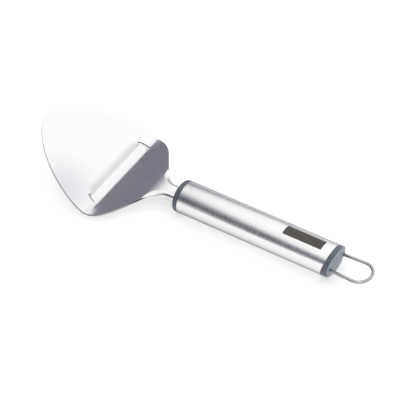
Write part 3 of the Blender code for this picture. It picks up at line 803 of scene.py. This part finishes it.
@dataclass
class Blade:
    """The stamped blade: front plate, slot with its ground lip, sole, folded neck and tang."""

    sheet: float = 0.0012
    rim_round: float = 0.0003
    slot_round: float = 0.00012
    neck_rise: float = 0.0018
    neck_run: float = 0.0144
    neck_bend_radius: float = 0.0750
    sole_run: float = 0.0349
    sole_slope: float = math.radians(14.6)
    vee_radius: float = 0.0040
    front_run: float = 0.0560
    front_slope: float = math.radians(28.8)
    tang_length: float = 0.0220
    neck_half_width: float = 0.0056
    half_width: float = 0.0392
    shoulder_run: float = 0.0139
    shoulder_angle: float = math.radians(53.0)
    neck_fillet: float = 0.0140
    corner_fillet: float = 0.0240
    front_power: float = 1.64
    fold_depth: float = 0.0055
    fold_radius: float = 0.0030
    fold_start_run: float = 0.0215
    fold_blend: float = 0.0090
    slot_half_length: float = 0.0292
    slot_depth: float = 0.0082
    slot_flare: float = 0.0019
    slot_flare_run: float = 0.0052
    slot_shift: float = 0.0012
    slit: float = 0.0006
    mouth_gap: float = 0.0018
    slice_depth: float = 0.0012
    joggle_run: float = 0.0022
    edge_thickness: float = 0.00015
    press_run: float = 0.0042
    press_depth: float = 0.00036
    press_fade: float = 0.0040
    roll_height: float = 0.00112
    roll_run: float = 0.0080
    roll_start_y: float = 0.0270
    roll_width: float = 0.0095
    roll_far_share: float = 0.45
    front_rows: int = 34
    corner_rows: int = 14
    fold_rows: int = 44
    fold_first_row: int = 3
    fold_steps: int = 9
    flare_rows: int = 8
    press_rows: int = 8
    joggle_rows: int = 14
    flat_columns: int = 10
    side_columns: int = 4
    fade_columns: int = 3
    rim_steps: int = 3

    def __post_init__(self) -> None:
        """Work out the places that follow from the sizes."""
        self.probe = self.sheet / 10
        self.closest = self.sheet / 5
        self.slot_reach = self.fade_columns + 3  # Cells from the slot's middle to one end.
        self.neck_top_z = HANDLE_AXIS_Z + self.neck_rise
        bend_x = THROAT_X - self.neck_run
        vee_x = bend_x - self.sole_run
        vee_z = self.neck_top_z - self.sole_run * math.tan(self.sole_slope)
        self.tip_x = vee_x - self.front_run
        self.tang_end_x = THROAT_X + self.tang_length
        self.vee = SheetBend(vee_x, vee_z, -self.front_slope, self.sole_slope, self.vee_radius)
        self.neck_bend = SheetBend(bend_x, self.neck_top_z, self.sole_slope, 0.0,
                                   self.neck_bend_radius)
        self.mouth_x = self.vee.end_x
        self.root_x = self.mouth_x - self.slot_depth
        self.press_start_x = self.root_x - self.press_run
        self.root_half = self.slot_half_length - self.slot_flare - self.slit
        self.shoulder_x = THROAT_X - self.shoulder_run
        turn = math.tan(self.shoulder_angle / 2)
        spread = self.half_width - self.neck_half_width
        self.fillet_end_x = self.shoulder_x + self.neck_fillet * turn
        self.fillet_start_x = self.fillet_end_x - self.neck_fillet * math.sin(self.shoulder_angle)
        corner_x = self.shoulder_x - spread / math.tan(self.shoulder_angle)
        self.widest_x = corner_x - self.corner_fillet * turn
        self.corner_end_x = self.widest_x + self.corner_fillet * math.sin(self.shoulder_angle)
        self.fold_start_x = THROAT_X - self.fold_start_run

    def height_and_slope(self, x: float) -> tuple[float, float]:
        """Read the sheet's side view.

        Args:
            x: A place along the slicer.

        Returns:
            The upper face's height there, and its slope toward the handle.
        """
        if x <= self.vee.start_x:
            rise = (self.vee.start_x - x) * math.tan(self.front_slope)
            return self.vee.start_z + rise, -self.front_slope
        if x < self.vee.end_x:
            return self.vee.height_and_slope(x)
        if x <= self.neck_bend.start_x:
            fall = (self.neck_bend.start_x - x) * math.tan(self.sole_slope)
            return self.neck_bend.start_z - fall, self.sole_slope
        if x < self.neck_bend.end_x:
            return self.neck_bend.height_and_slope(x)
        return self.neck_top_z, 0.0

    def half_width_at(self, x: float) -> float:
        """Read the outline: a superellipse in front and a filleted shoulder behind.

        Args:
            x: A place along the slicer.

        Returns:
            Half the blade's width there.
        """
        if x <= self.widest_x:
            share = min((self.widest_x - x) / (self.widest_x - self.tip_x), 1.0)
            return self.half_width * (1 - share ** self.front_power) ** (1 / self.front_power)
        if x < self.corner_end_x:
            drop = math.sqrt(self.corner_fillet ** 2 - (x - self.widest_x) ** 2)
            return self.half_width - self.corner_fillet + drop
        if x < self.fillet_start_x:
            return self.neck_half_width + (self.shoulder_x - x) * math.tan(self.shoulder_angle)
        if x < self.fillet_end_x:
            drop = math.sqrt(self.neck_fillet ** 2 - (x - self.fillet_end_x) ** 2)
            return self.neck_half_width + self.neck_fillet - drop
        return self.neck_half_width

    def slot_half_at(self, x: float) -> float:
        """Return half the slot's length at x: its ends flare out from the lip's root in a curve."""
        share = min(max(1 - (x - self.root_x) / self.slot_flare_run, 0.0), 1.0)
        return self.slot_half_length - self.slot_flare * share ** 2

    def press_drop(self, x: float, y: float) -> float:
        """Read how far the plate is pressed down in front of the lip.

        Args:
            x: A place along the slicer.
            y: The place across it, from the slot's middle.

        Returns:
            The depth of the press there.
        """
        if not self.press_start_x < x <= self.root_x:
            return 0.0
        share = (x - self.press_start_x) / self.press_run
        inside = self.root_half - abs(y)
        return self.press_depth * share ** 2 * eased(inside / self.press_fade)

    def roll_lift(self, x: float, y: float) -> float:
        """Read how far the bend across the blade is rolled up softly near the rim.

        Args:
            x: A place along the slicer.
            y: The place across it.

        Returns:
            The rise of the sheet there, which is less on the +Y side.
        """
        share = max(1 - abs(x - self.vee.x) / self.roll_run, 0.0) ** 2
        if y > 0:
            share *= self.roll_far_share
            y -= 2 * self.slot_shift
        return self.roll_height * share * eased((abs(y) - self.roll_start_y) / self.roll_width)

    def outline_normal(self, x: float) -> Vector:
        """Return the direction, seen from above, that points square out of the outline at x."""
        widening = self.half_width_at(x + self.probe) - self.half_width_at(x - self.probe)
        return Vector((-widening / (2 * self.probe), 1.0)).normalized()

    def fold_drop(self, x: float) -> float:
        """Read how deep the folded edge is.

        Args:
            x: A place along the slicer.

        Returns:
            How far the fold reaches below the upper face: level along the neck, fading into the sole.
        """
        depth = self.height_and_slope(x)[0] - self.neck_top_z + self.fold_depth
        if depth < self.fold_radius:
            depth = max(depth - self.sheet, 0.0) / (1 - self.sheet / self.fold_radius)
        return depth * eased((x - self.fold_start_x) / self.fold_blend)

    def folded_edge(self, x: float) -> list[tuple[float, float, float]]:
        """Lay out the folded edge's cross-section.

        Args:
            x: A place along the slicer.

        Returns:
            Steps outward, down and tilt, from the flat part to the rim.
        """
        drop = self.fold_drop(x)
        sweep = math.acos(1 - min(drop, self.fold_radius) / self.fold_radius)
        length = self.fold_radius * sweep + max(drop - self.fold_radius, 0.0)
        if length < self.rim_round:
            return [(0.0, 0.0, 0.0)]
        section = []
        for run in spaced(0.0, length, self.fold_steps):
            tilt = min(run / self.fold_radius, sweep)
            outward = self.fold_radius * (math.sin(tilt) - math.sin(sweep))
            down = self.fold_radius * (1 - math.cos(tilt)) + (run - self.fold_radius * tilt)
            section.append((outward, down, tilt))
        return section

    def sheet_pair(self, x: float, y: float, outward: float = 0.0, down: float = 0.0,
                   tilt: float = 0.0) -> SheetPoint:
        """Find the two points of the sheet at a place.

        Args:
            x: The place along the slicer.
            y: The place across it.
            outward: A step square out of the outline.
            down: A step down from the upper face.
            tilt: How far the sheet is folded there.

        Returns:
            The upper and the under point.
        """
        direction = self.outline_normal(x) if tilt or outward else Vector((0.0, 1.0))
        z, slope = self.height_and_slope(x + direction.x * outward)
        along, up = leaned(slope)
        side = along * direction.x + Vector((0.0, direction.y, 0.0))
        upper = Vector((x + direction.x * outward, y + direction.y * outward, z)) - up * down
        normal = up * math.cos(tilt) + side * math.sin(tilt)
        return upper, upper - normal * self.sheet

    def row(self, x: float) -> list[SheetPoint]:
        """Lay out one row of the sheet.

        Args:
            x: The row's place along the slicer.

        Returns:
            Its pairs, from the rim at -Y to the rim at +Y.
        """
        section = self.folded_edge(x)
        edge_y = self.half_width_at(x)
        normal = self.outline_normal(x)
        flat_y = edge_y + normal.y * section[0][0]
        lean = normal.x * section[0][0] / flat_y
        by_slot = self.press_start_x - self.rim_round < x < self.mouth_x + self.rim_round
        if by_slot:
            slot_y = self.slot_half_at(x)
            strip_y = slot_y - self.slit
            plain_y = strip_y - self.press_fade
            columns = [0.0, plain_y / 2, *spaced(plain_y, strip_y, self.fade_columns),
                       *spaced(slot_y, flat_y, self.side_columns)[:-1]]
        else:
            columns = spaced(0.0, flat_y, self.flat_columns)[:-1]
        half = [self.sheet_pair(x + lean * y, y, down=self.press_drop(x, y)) for y in columns]
        half += [self.sheet_pair(x, edge_y, *place) for place in section]
        pairs = [tuple(Vector((p.x, -p.y, p.z)) for p in pair) for pair in half[:0:-1]] + half
        if by_slot:
            shift = Vector((0.0, self.slot_shift, 0.0))
            pairs[1:-1] = [(upper + shift, under + shift) for upper, under in pairs[1:-1]]
        for upper, under in pairs:
            lift = self.roll_lift(upper.x, upper.y)
            upper.z += lift
            under.z += lift
        return pairs

    def stations(self) -> list[float]:
        """Place the rows.

        Returns:
            Their places along X, from behind the tip to the tang's end.
        """
        length = self.widest_x - self.tip_x
        front = [self.widest_x - length * math.sin(angle) ** (2 / self.front_power)
                 for angle in spaced(math.pi / 2, 0.0, self.front_rows)[1:-1]]
        places = [x for x in front if x < self.press_start_x - self.sheet / 2]
        places += spaced(self.press_start_x, self.root_x, self.press_rows)[:-1]
        flare = spaced(self.root_x, self.root_x + self.slot_flare_run, self.flare_rows)
        places += [x for x in flare if x < self.vee.start_x - self.closest]
        places += self.vee.stations()
        rest = spaced(self.widest_x, self.corner_end_x, self.corner_rows)[1:]
        rest += spaced(self.fold_start_x, self.fillet_end_x, self.fold_rows)[self.fold_first_row:]
        rest += [(self.corner_end_x + self.fold_start_x) / 2, self.fold_start_x,
                 self.neck_bend.end_x, THROAT_X, self.tang_end_x]
        for x in sorted(rest):
            if x > places[-1] + self.closest:
                places.append(x)
        return places

    def add_rows(self, cells: SheetCells) -> list[int]:
        """Lay the plate, neck and tang.

        Args:
            cells: The sheet that is being laid.

        Returns:
            The pairs at the lip's root.
        """
        tip = cells.add_pair(self.sheet_pair(self.tip_x, 0.0), on_rim=True)
        stations = self.stations()
        reach = self.slot_reach
        previous: list[int] = []
        root: list[int] = []
        for x in stations:
            pairs = self.row(x)
            last = len(pairs) - 1
            at_end = x == stations[-1]
            row = [cells.add_pair(pair, on_rim=at_end or index in (0, last))
                   for index, pair in enumerate(pairs)]
            middle = last // 2
            if not previous:
                cells.cells += [((tip, end, start), SheetFace.ROLLED)
                                for start, end in zip(row, row[1:])]
            else:
                open_here = self.root_x < x < self.mouth_x + self.rim_round
                previous_middle = (len(previous) - 1) // 2
                slot_columns = range(previous_middle - reach, previous_middle + reach)
                cells.add_strip(previous, row, slot_columns if open_here else range(0))
            if x == self.root_x:
                root = row[middle - reach + 1:middle + reach]
            previous = row
        return root

    def add_lip(self, cells: SheetCells, root: Sequence[int]) -> None:
        """Lay the lip: a joggle down from the front plate, then a strip ground to a cutting edge.

        Args:
            cells: The sheet that is being laid.
            root: The pairs at the lip's root.
        """
        root_z, slope = self.height_and_slope(self.root_x)
        along, up = leaned(slope)
        down = -up
        base = Vector((self.root_x, 0.0, root_z))
        mouth_z, mouth_slope = self.height_and_slope(self.mouth_x)
        under_z = mouth_z - self.sheet / math.cos(mouth_slope)
        edge = Vector((self.mouth_x - self.mouth_gap, 0.0, under_z - self.slice_depth))
        reach = (edge - base).dot(along)
        full_drop = (edge - base).dot(down) - self.sheet
        section = [(self.joggle_run * share, share, 0.0)
                   for share in spaced(0.0, 1.0, self.joggle_rows)[1:]]
        section.append((reach, 1.0, self.sheet - self.edge_thickness))
        places = [cells.pairs[number][0].co.y - self.slot_shift for number in root]
        previous = list(root)
        for advance, share, ground in section:
            place = base + along * advance
            lip_y = self.slot_half_at(place.x + down.x * (full_drop + self.sheet)) - self.slit
            row = []
            for root_y in places:
                press = self.press_drop(self.root_x, root_y)
                lean = 2 * press * self.joggle_run / self.press_run
                drop = press + (full_drop - press) * eased(share) + lean * share * (1 - share) ** 2
                spot = place + down * drop
                spot.y = self.slot_shift + root_y * lip_y / self.root_half
                pair = (spot + down * ground, spot + down * self.sheet)
                row.append(cells.add_pair(pair, on_lip=True))
            kind = SheetFace.GROUND if ground else SheetFace.ROLLED
            cells.add_strip(previous, row, kind=kind)
            previous = row

    def build(self) -> Object:
        """Make the blade and put it in its CAD node's place.

        Returns:
            The finished piece.
        """
        cells = SheetCells()
        root = self.add_rows(cells)
        self.add_lip(cells, root)
        finishes = [ROLLED_SHEET.material(), GROUND_EDGE.material(), SHEARED_RIM_AND_PAINTED_SHADE.material()]
        bm = cells.closed(self.rim_round, self.slot_round, self.rim_steps)
        piece = shown("blade_sheet", bm, finishes)
        carved(piece, [cross_bore()])
        handed_over(piece, "slicer_blade")
        return piece


@dataclass
class Tube:
    """The thin steel tube, with its two ends cut on a slant."""

    wall: float = 0.0008
    edge_round: float = 0.0002
    segments: int = 256
    edge_steps: int = 3

    def rings(self) -> list[Ring]:
        """Lay out the tube's wall.

        Returns:
            Its rings, outside first, then the bore.
        """
        size, steps = self.edge_round, self.edge_steps
        front = quarter_round(TUBE_FRONT_X + size, -size, size, (FRONT_LEAN, FRONT_LEAN), steps)
        rear = quarter_round(TUBE_REAR_X - size, size, size, (REAR_LEAN, REAR_LEAN), steps)
        bore = TUBE_RADIUS - self.wall
        return [*reversed(front), *rear, (TUBE_REAR_X, bore, REAR_LEAN),
                (TUBE_FRONT_X, bore, FRONT_LEAN)]

    def build(self) -> Object:
        """Make the tube and put it in its CAD node's place.

        Returns:
            The finished piece.
        """
        bm = turned(self.rings(), self.segments, hollow=True)
        for face in bm.faces:
            middle = face.calc_center_median()
            inside = math.hypot(middle.y, middle.z - HANDLE_AXIS_Z) < TUBE_RADIUS
            at_front = unslanted(middle, FRONT_LEAN) < TUBE_FRONT_X + self.edge_round
            at_rear = unslanted(middle, REAR_LEAN) > TUBE_REAR_X - self.edge_round
            face.material_index = int(inside and (at_front or at_rear))
        piece = shown("tube_shell", bm, [BRUSHED_TUBE.material(), CUT_TUBE_END.material()])
        handed_over(piece, "handle_tube")
        return piece


@dataclass
class Patch:
    """The plain dark patch that is printed on the tube, as a skin with soft corners."""

    start_x: float = 0.0621
    end_x: float = 0.0909
    half_height: float = 0.0037
    corner_radius: float = 0.0004
    skin: float = 0.00002
    columns: int = 60
    rows: int = 12

    def ring(self, x: float) -> list[Place]:
        """Lay out the skin's cross-section.

        Args:
            x: Its place along the tube.

        Returns:
            The places round it, over the skin and back under it.
        """
        to_end = min(x - self.start_x, self.end_x - x)
        over = max(self.corner_radius - to_end, 0.0)
        inset = self.corner_radius - math.sqrt(max(self.corner_radius ** 2 - over ** 2, 0.0))
        reach = (self.half_height - inset) / TUBE_RADIUS
        angles = spaced(-reach, reach, self.rows)
        spots = [(TUBE_RADIUS + self.skin, angle) for angle in angles]
        spots += [(TUBE_RADIUS - self.skin, angle) for angle in reversed(angles)]
        return [(x, radius * math.sin(angle), HANDLE_AXIS_Z + radius * math.cos(angle))
                for radius, angle in spots]

    def build(self) -> Object:
        """Make the patch and seat it on the tube.

        Returns:
            The finished piece.
        """
        rings = [self.ring(x) for x in spaced(self.start_x, self.end_x, self.columns)]
        piece = shown("dark_patch", lofted(rings), [EtchedPatch().material()])
        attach(piece, "root")
        return piece


@dataclass
class Moulding:
    """What both plastic ends of the handle share: a seam against the tube and a spigot in its bore."""

    seam: float = 0.0002
    spigot_radius: float = 0.0099
    chamfer: float = 0.0008
    segments: int = 192


@dataclass
class Collar(Moulding):
    """The plastic collar at the tube's front: a rounded band, and a spigot that holds the tang."""

    band: float = 0.0038
    edge_round: float = 0.0014
    round_steps: int = 12
    spigot_length: float = 0.0240
    slot_half_width: float = 0.0056
    slot_top_z: float = 0.0128
    slot_depth: float = 0.0055
    slot_radius: float = 0.0030
    sheet: float = 0.0012
    overshoot: float = 0.0020
    corner_step: float = math.radians(11.25)

    def tang_slot(self) -> Object:
        """Make the channel-shaped body that the tang's slot is cut with.

        Returns:
            The cutter.
        """
        bottom_z = self.slot_top_z - self.slot_depth - FIT
        section: list[Vector] = []
        for side, grown in ((-1, FIT), (1, -self.sheet - FIT)):
            y, top_z = side * (self.slot_half_width + grown), self.slot_top_z + grown
            corners = [(y, bottom_z), (y, top_z), (-y, top_z), (-y, bottom_z)]
            section += rounded_path(corners, [self.slot_radius + grown] * 2, self.corner_step)
        start_x = THROAT_X - self.overshoot
        end_x = THROAT_X + self.band + self.spigot_length + self.overshoot
        rings = [[(x, *place) for place in section] for x in (start_x, end_x)]
        return shown("tang_slot", lofted(rings))

    def build(self) -> Object:
        """Make the collar and put it in its CAD node's place.

        Returns:
            The finished piece.
        """
        size, steps = self.edge_round, self.round_steps
        front = quarter_round(THROAT_X + size, -size, size, (FRONT_LEAN, FRONT_LEAN), steps)
        seat_x = THROAT_X + self.band - self.seam
        end_x = THROAT_X + self.band + self.spigot_length
        rings = [*reversed(front), (seat_x, TUBE_RADIUS, FRONT_LEAN),
                 (seat_x, self.spigot_radius, FRONT_LEAN),
                 (end_x - self.chamfer, self.spigot_radius, 0.0),
                 (end_x, self.spigot_radius - self.chamfer, 0.0)]
        piece = shown("collar_ring", turned(rings, self.segments), [SLATE_BAND.material()])
        carved(piece, [self.tang_slot(), cross_bore()])
        handed_over(piece, "front_collar")
        return piece


@dataclass
class Cap(Moulding):
    """The plastic cap at the tube's rear: a slanted band, a soft shoulder and a domed end face."""

    band: float = 0.0036
    face_lean: float = math.tan(math.radians(10.5))
    shoulder_length: float = 0.0012
    shoulder_inset: float = 0.0025
    shoulder_steps: int = 14
    painted_lit_from: float = 0.55
    dome: float = 0.0009
    dome_steps: int = 12
    bore_radius: float = 0.0013
    overshoot: float = 0.0080

    def leg_bore(self, y: float) -> Object:
        """Make the body that a wire leg's hole is cut with.

        Args:
            y: The hole's place across the cap.

        Returns:
            The cutter.
        """
        start_x = TUBE_REAR_X - REAR_SPIGOT_LENGTH - self.overshoot
        end_x = TUBE_REAR_X + self.band + self.overshoot
        rings = [(x, self.bore_radius, 0.0) for x in (start_x, end_x)]
        return shown("leg_bore", turned(rings, BORE_SEGMENTS, y=y))

    def build(self) -> Object:
        """Make the cap and put it in its CAD node's place.

        Returns:
            The finished piece.
        """
        start_x = TUBE_REAR_X - REAR_SPIGOT_LENGTH
        seat_x = TUBE_REAR_X + self.seam
        crease_x = TUBE_REAR_X + self.band
        rings = [(start_x, self.spigot_radius - self.chamfer, 0.0),
                 (start_x + self.chamfer, self.spigot_radius, 0.0),
                 (seat_x, self.spigot_radius, REAR_LEAN), (seat_x, TUBE_RADIUS, REAR_LEAN)]
        rings += quarter_round(crease_x, self.shoulder_length, self.shoulder_inset,
                               (REAR_LEAN, self.face_lean), self.shoulder_steps)
        for share in spaced(1.0, 0.0, self.dome_steps)[1:-1]:
            x = crease_x + self.shoulder_length + self.dome * (1 - share * share)
            rings.append((x, (TUBE_RADIUS - self.shoulder_inset) * share, self.face_lean))
        bm = turned(rings, self.segments)
        # From part way round the shoulder, the end face takes the plastic that is painted lighter for
        # the light it catches.
        face_start = crease_x + self.shoulder_length * self.painted_lit_from
        for face in bm.faces:
            middle_x = unslanted(face.calc_center_median(), self.face_lean)
            face.material_index = int(middle_x > face_start)
        piece = shown("end_cap", bm, [SLATE_BAND.material(), PAINTED_LIT_FACE.material()])
        carved(piece, [self.leg_bore(side * LEG_HALF_SPACING) for side in (1, -1)])
        handed_over(piece, "rear_cap")
        return piece


@dataclass
class WireLoop:
    """The bent wire that the slicer hangs by, with its ends hooked in behind the cap."""

    radius: float = 0.0010
    cap_face_x: float = 0.10013905
    end_x: float = 0.12543905
    loop_half_width: float = 0.0086
    leg_straight: float = 0.0015
    leg_bend_radius: float = 0.0253
    hook_length: float = 0.0052
    hook_radius: float = 0.0022
    step_angle: float = math.radians(4.0)
    longest_step: float = 0.0015
    same_point: float = 0.000001
    segments: int = 32

    def route(self) -> list[Vector]:
        """Lay out the wire's centre line.

        Returns:
            Its points in plan, from one hooked end round the eye to the other.
        """
        hook_x = TUBE_REAR_X - REAR_SPIGOT_LENGTH - FIT - self.radius
        bend_x = self.cap_face_x + self.leg_straight
        far_x = self.end_x - self.radius
        splay = math.atan2(self.loop_half_width - LEG_HALF_SPACING, far_x - bend_x)
        eye = self.loop_half_width / math.tan((math.pi / 2 + splay) / 2)
        half = [(hook_x, LEG_HALF_SPACING - self.hook_length), (hook_x, LEG_HALF_SPACING),
                (bend_x, LEG_HALF_SPACING), (far_x, self.loop_half_width)]
        corners = half + [(x, -y) for x, y in reversed(half)]
        radii = (self.hook_radius, self.leg_bend_radius, eye)
        points = rounded_path(corners, radii + radii[::-1], self.step_angle)
        filled = [points[0]]
        for start, end in zip(points, points[1:]):
            count = max(1, math.ceil((end - start).length / self.longest_step))
            filled += [start.lerp(end, share) for share in spaced(0.0, 1.0, count)[1:]]
        return [point for index, point in enumerate(filled)
                if index == 0 or (point - filled[index - 1]).length > self.same_point]

    def build(self) -> Object:
        """Make the wire and put it in its CAD node's place.

        Returns:
            The finished piece.
        """
        route = self.route()
        angles = spaced(0.0, 2 * math.pi, self.segments)[:-1]
        up = Vector((0.0, 0.0, self.radius))
        rings = []
        for point, before, after in zip(route, [route[0], *route], [*route[1:], route[-1]]):
            heading = (after - before).normalized()
            across = Vector((-heading.y, heading.x, 0.0)) * self.radius
            centre = Vector((*point, HANDLE_AXIS_Z))
            rings.append([centre + across * math.cos(angle) + up * math.sin(angle)
                          for angle in angles])
        piece = shown("wire_loop", lofted(rings), [DrawnWire().material()])
        handed_over(piece, "hanging_loop")
        return piece


@dataclass
class TangPin:
    """The cross pin inside the handle, which keeps its CAD solid."""

    node: str = "tang_pin"

    def build(self) -> Object:
        """Give the pin its finish.

        Returns:
            The dressed CAD node.
        """
        pin = frame["nodes"][self.node]
        pin.data.materials.clear()
        pin.data.materials.append(DrawnWire(name="pin_wire").material())
        return pin


def strip(*marks: tuple[float, ...]) -> Stops:
    """Return stops from marks of a place, a level of gray and, where it differs, the level of blue."""
    return tuple((place, (level, level, blue[0] if blue else level)) for place, level, *blue in marks)


@dataclass
class Studio:
    """The plain pale table, the soft light over it and the camera.

    The light is graded by its direction: along the overhead light's own axis, along X, and by height,
    where a low band of it glows over the table's two long sides. A narrower band stands along the
    horizon as a pale backdrop.
    """

    table_half_size: float = 12.0
    table_colour: Colour = (0.72, 0.72, 0.72)
    table_shade: float = 0.985
    table_grain: float = 60.0
    table_roughness: float = 0.9
    table_glow: float = 0.46
    light_level: float = 1.30
    light_axis: Place = (0.50, 0.25, 0.83)
    light_stops: Stops = (
        (-0.30, (0.050, 0.048, 0.054)), (-0.08, (0.058, 0.057, 0.067)), (0.04, (0.172, 0.174, 0.218)),
        (0.12, (0.222, 0.225, 0.272)), (0.17, (0.290, 0.290, 0.324)), (0.20, (0.430, 0.428, 0.446)),
        (0.24, (0.640, 0.636, 0.640)), (0.29, (0.810, 0.805, 0.800)), (0.35, (0.940, 0.936, 0.928)),
        (0.42, (1.000, 0.998, 0.992)), (0.495, (1.000, 1.000, 0.996)), (0.512, (0.760, 0.758, 0.756)),
        (0.545, (0.760, 0.758, 0.756)), (0.562, (1.000, 1.000, 1.000)), (1.00, (1.000, 1.000, 1.000)))
    side_stops: Stops = strip(
        (-1.00, 1.0), (-0.49, 1.0), (-0.42, 0.91), (-0.25, 0.92), (0.05, 1.0), (0.38, 1.0),
        (0.45, 0.87), (0.53, 0.75, 0.755), (0.65, 0.745, 0.75), (0.74, 0.66, 0.67), (1.00, 0.64, 0.65))
    across_stops: Stops = strip(
        (-1.00, 1.0), (-0.75, 0.60), (-0.45, 0.12), (-0.20, 0.0), (0.30, 0.0), (0.70, 0.22, 0.23),
        (1.00, 0.50, 0.52))
    glow_stops: Stops = strip(
        (-0.20, 0.20, 0.215), (0.00, 0.20, 0.215), (0.10, 0.18, 0.198), (0.26, 0.12, 0.132),
        (0.36, 0.042, 0.044), (0.46, 0.0))
    horizon_stops: Stops = strip((-1.00, 1.0), (0.085, 1.0), (0.14, 0.0), (1.0, 0.0))
    horizon_side_stops: Stops = strip(
        (-1.00, 0.72), (-0.72, 0.72), (-0.60, 0.0), (-0.32, 0.0), (-0.16, 0.52), (0.14, 0.52),
        (0.40, 0.0), (1.00, 0.0))
    camera_place: Place = (0.75489640, -0.83957836, 1.16936739)
    camera_back: Place = (0.4695, -0.5192, 0.7144)
    camera_right: Place = (0.8106, 0.5746, -0.1153)
    lens: float = 229.14
    sensor: float = 36.0

    def table(self) -> None:
        """Lay the pale table, which shows white to the camera and keeps the slicer's shadow."""
        bm = bmesh.new()
        half = self.table_half_size
        corners = ((-half, -half, 0.0), (half, -half, 0.0), (half, half, 0.0), (-half, half, 0.0))
        bm.faces.new([bm.verts.new(corner) for corner in corners])
        bench = ShaderBench("pale_table")
        paper = bench.grain(self.table_grain, detail=4.0)
        shade = tuple(value * self.table_shade for value in self.table_colour)
        rays = bench.add("ShaderNodeLightPath")
        seen = bench.combined("ADD", rays.outputs["Is Camera Ray"], rays.outputs["Is Glossy Ray"])
        seen = bench.combined("ADD", seen, rays.outputs["Is Transmission Ray"])
        finish = bench.dressed(
            Base_Color=bench.tinted(paper, shade, self.table_colour),
            Roughness=self.table_roughness, Specular_IOR_Level=0.0,
            Emission_Color=(1.0, 1.0, 1.0, 1.0),
            Emission_Strength=bench.ranged(seen, 0.0, self.table_glow, 0.0, 1.0))
        table = shown("table", bm, [finish])

    def sky(self) -> None:
        """Hang the soft light: bright overhead and toward the handle, dark low by the blade."""
        world = bpy.data.worlds.new("soft_studio")
        world.use_nodes = True
        bpy.context.scene.world = world
        bench = NodeBench(world.node_tree)
        facing = bench.add("ShaderNodeTexCoord").outputs["Generated"]
        axis = Vector(self.light_axis).normalized()
        along = bench.add("ShaderNodeVectorMath", {0: facing, 1: axis}, operation="DOT_PRODUCT")
        parts = bench.add("ShaderNodeSeparateXYZ", {"Vector": facing})
        x, y, z = (parts.outputs[name] for name in "XYZ")
        layers = (((along.outputs["Value"], self.light_stops), (x, self.side_stops)),
                  ((z, self.glow_stops), (y, self.across_stops)),
                  ((z, self.horizon_stops), (x, self.horizon_side_stops)))
        lit, low, backdrop = (
            bench.combined("MULTIPLY", bench.graded(*first), bench.graded(*second), of_colours=True)
            for first, second in layers)
        lit = bench.combined("ADD", lit, low, of_colours=True)
        summed = bench.combined("ADD", lit, backdrop, of_colours=True)
        bench.plug(bench.tree.nodes["Background"], {"Color": summed, "Strength": self.light_level})

    def camera(self) -> None:
        """Set the camera where the photograph was taken from."""
        back = Vector(self.camera_back).normalized()
        right = Vector(self.camera_right)
        right = (right - back * right.dot(back)).normalized()
        up = back.cross(right)
        place = Vector(self.camera_place)
        lens = bpy.data.cameras.new("camera")
        lens.lens = self.lens
        lens.sensor_width = self.sensor
        holder = bpy.data.objects.new("camera", lens)
        bpy.context.scene.collection.objects.link(holder)
        rows = [(right[axis], up[axis], back[axis], place[axis]) for axis in range(3)]
        holder.matrix_world = Matrix((*rows, (0.0, 0.0, 0.0, 1.0)))
        bpy.context.scene.camera = holder

    def build(self) -> None:
        """Set up the table, the light and the camera."""
        self.table()
        self.sky()
        self.camera()
        bpy.context.scene.view_settings.view_transform = "Standard"


def clear_bench() -> None:
    """Remove what a new Blender file holds, and keep the frame."""
    kept = {*frame["nodes"].values(), *frame["bodies"].values()}
    for obj in list(bpy.data.objects):
        if obj not in kept:
            bpy.data.objects.remove(obj, do_unlink=True)


def main() -> None:
    """Build the slicer's pieces in order, then the studio round them."""
    logging.basicConfig(level=logging.INFO, format="%(name)s: %(message)s")
    clear_bench()
    for part in (Blade(), Collar(), TangPin(), Tube(), Patch(), Cap(), WireLoop()):
        piece = part.build()
        log.info("%s: %d faces", piece.name, len(piece.data.polygons))
    Studio().build()
    log.info("studio: table, soft light and camera are in place")


if __name__ == "__main__":
    main()
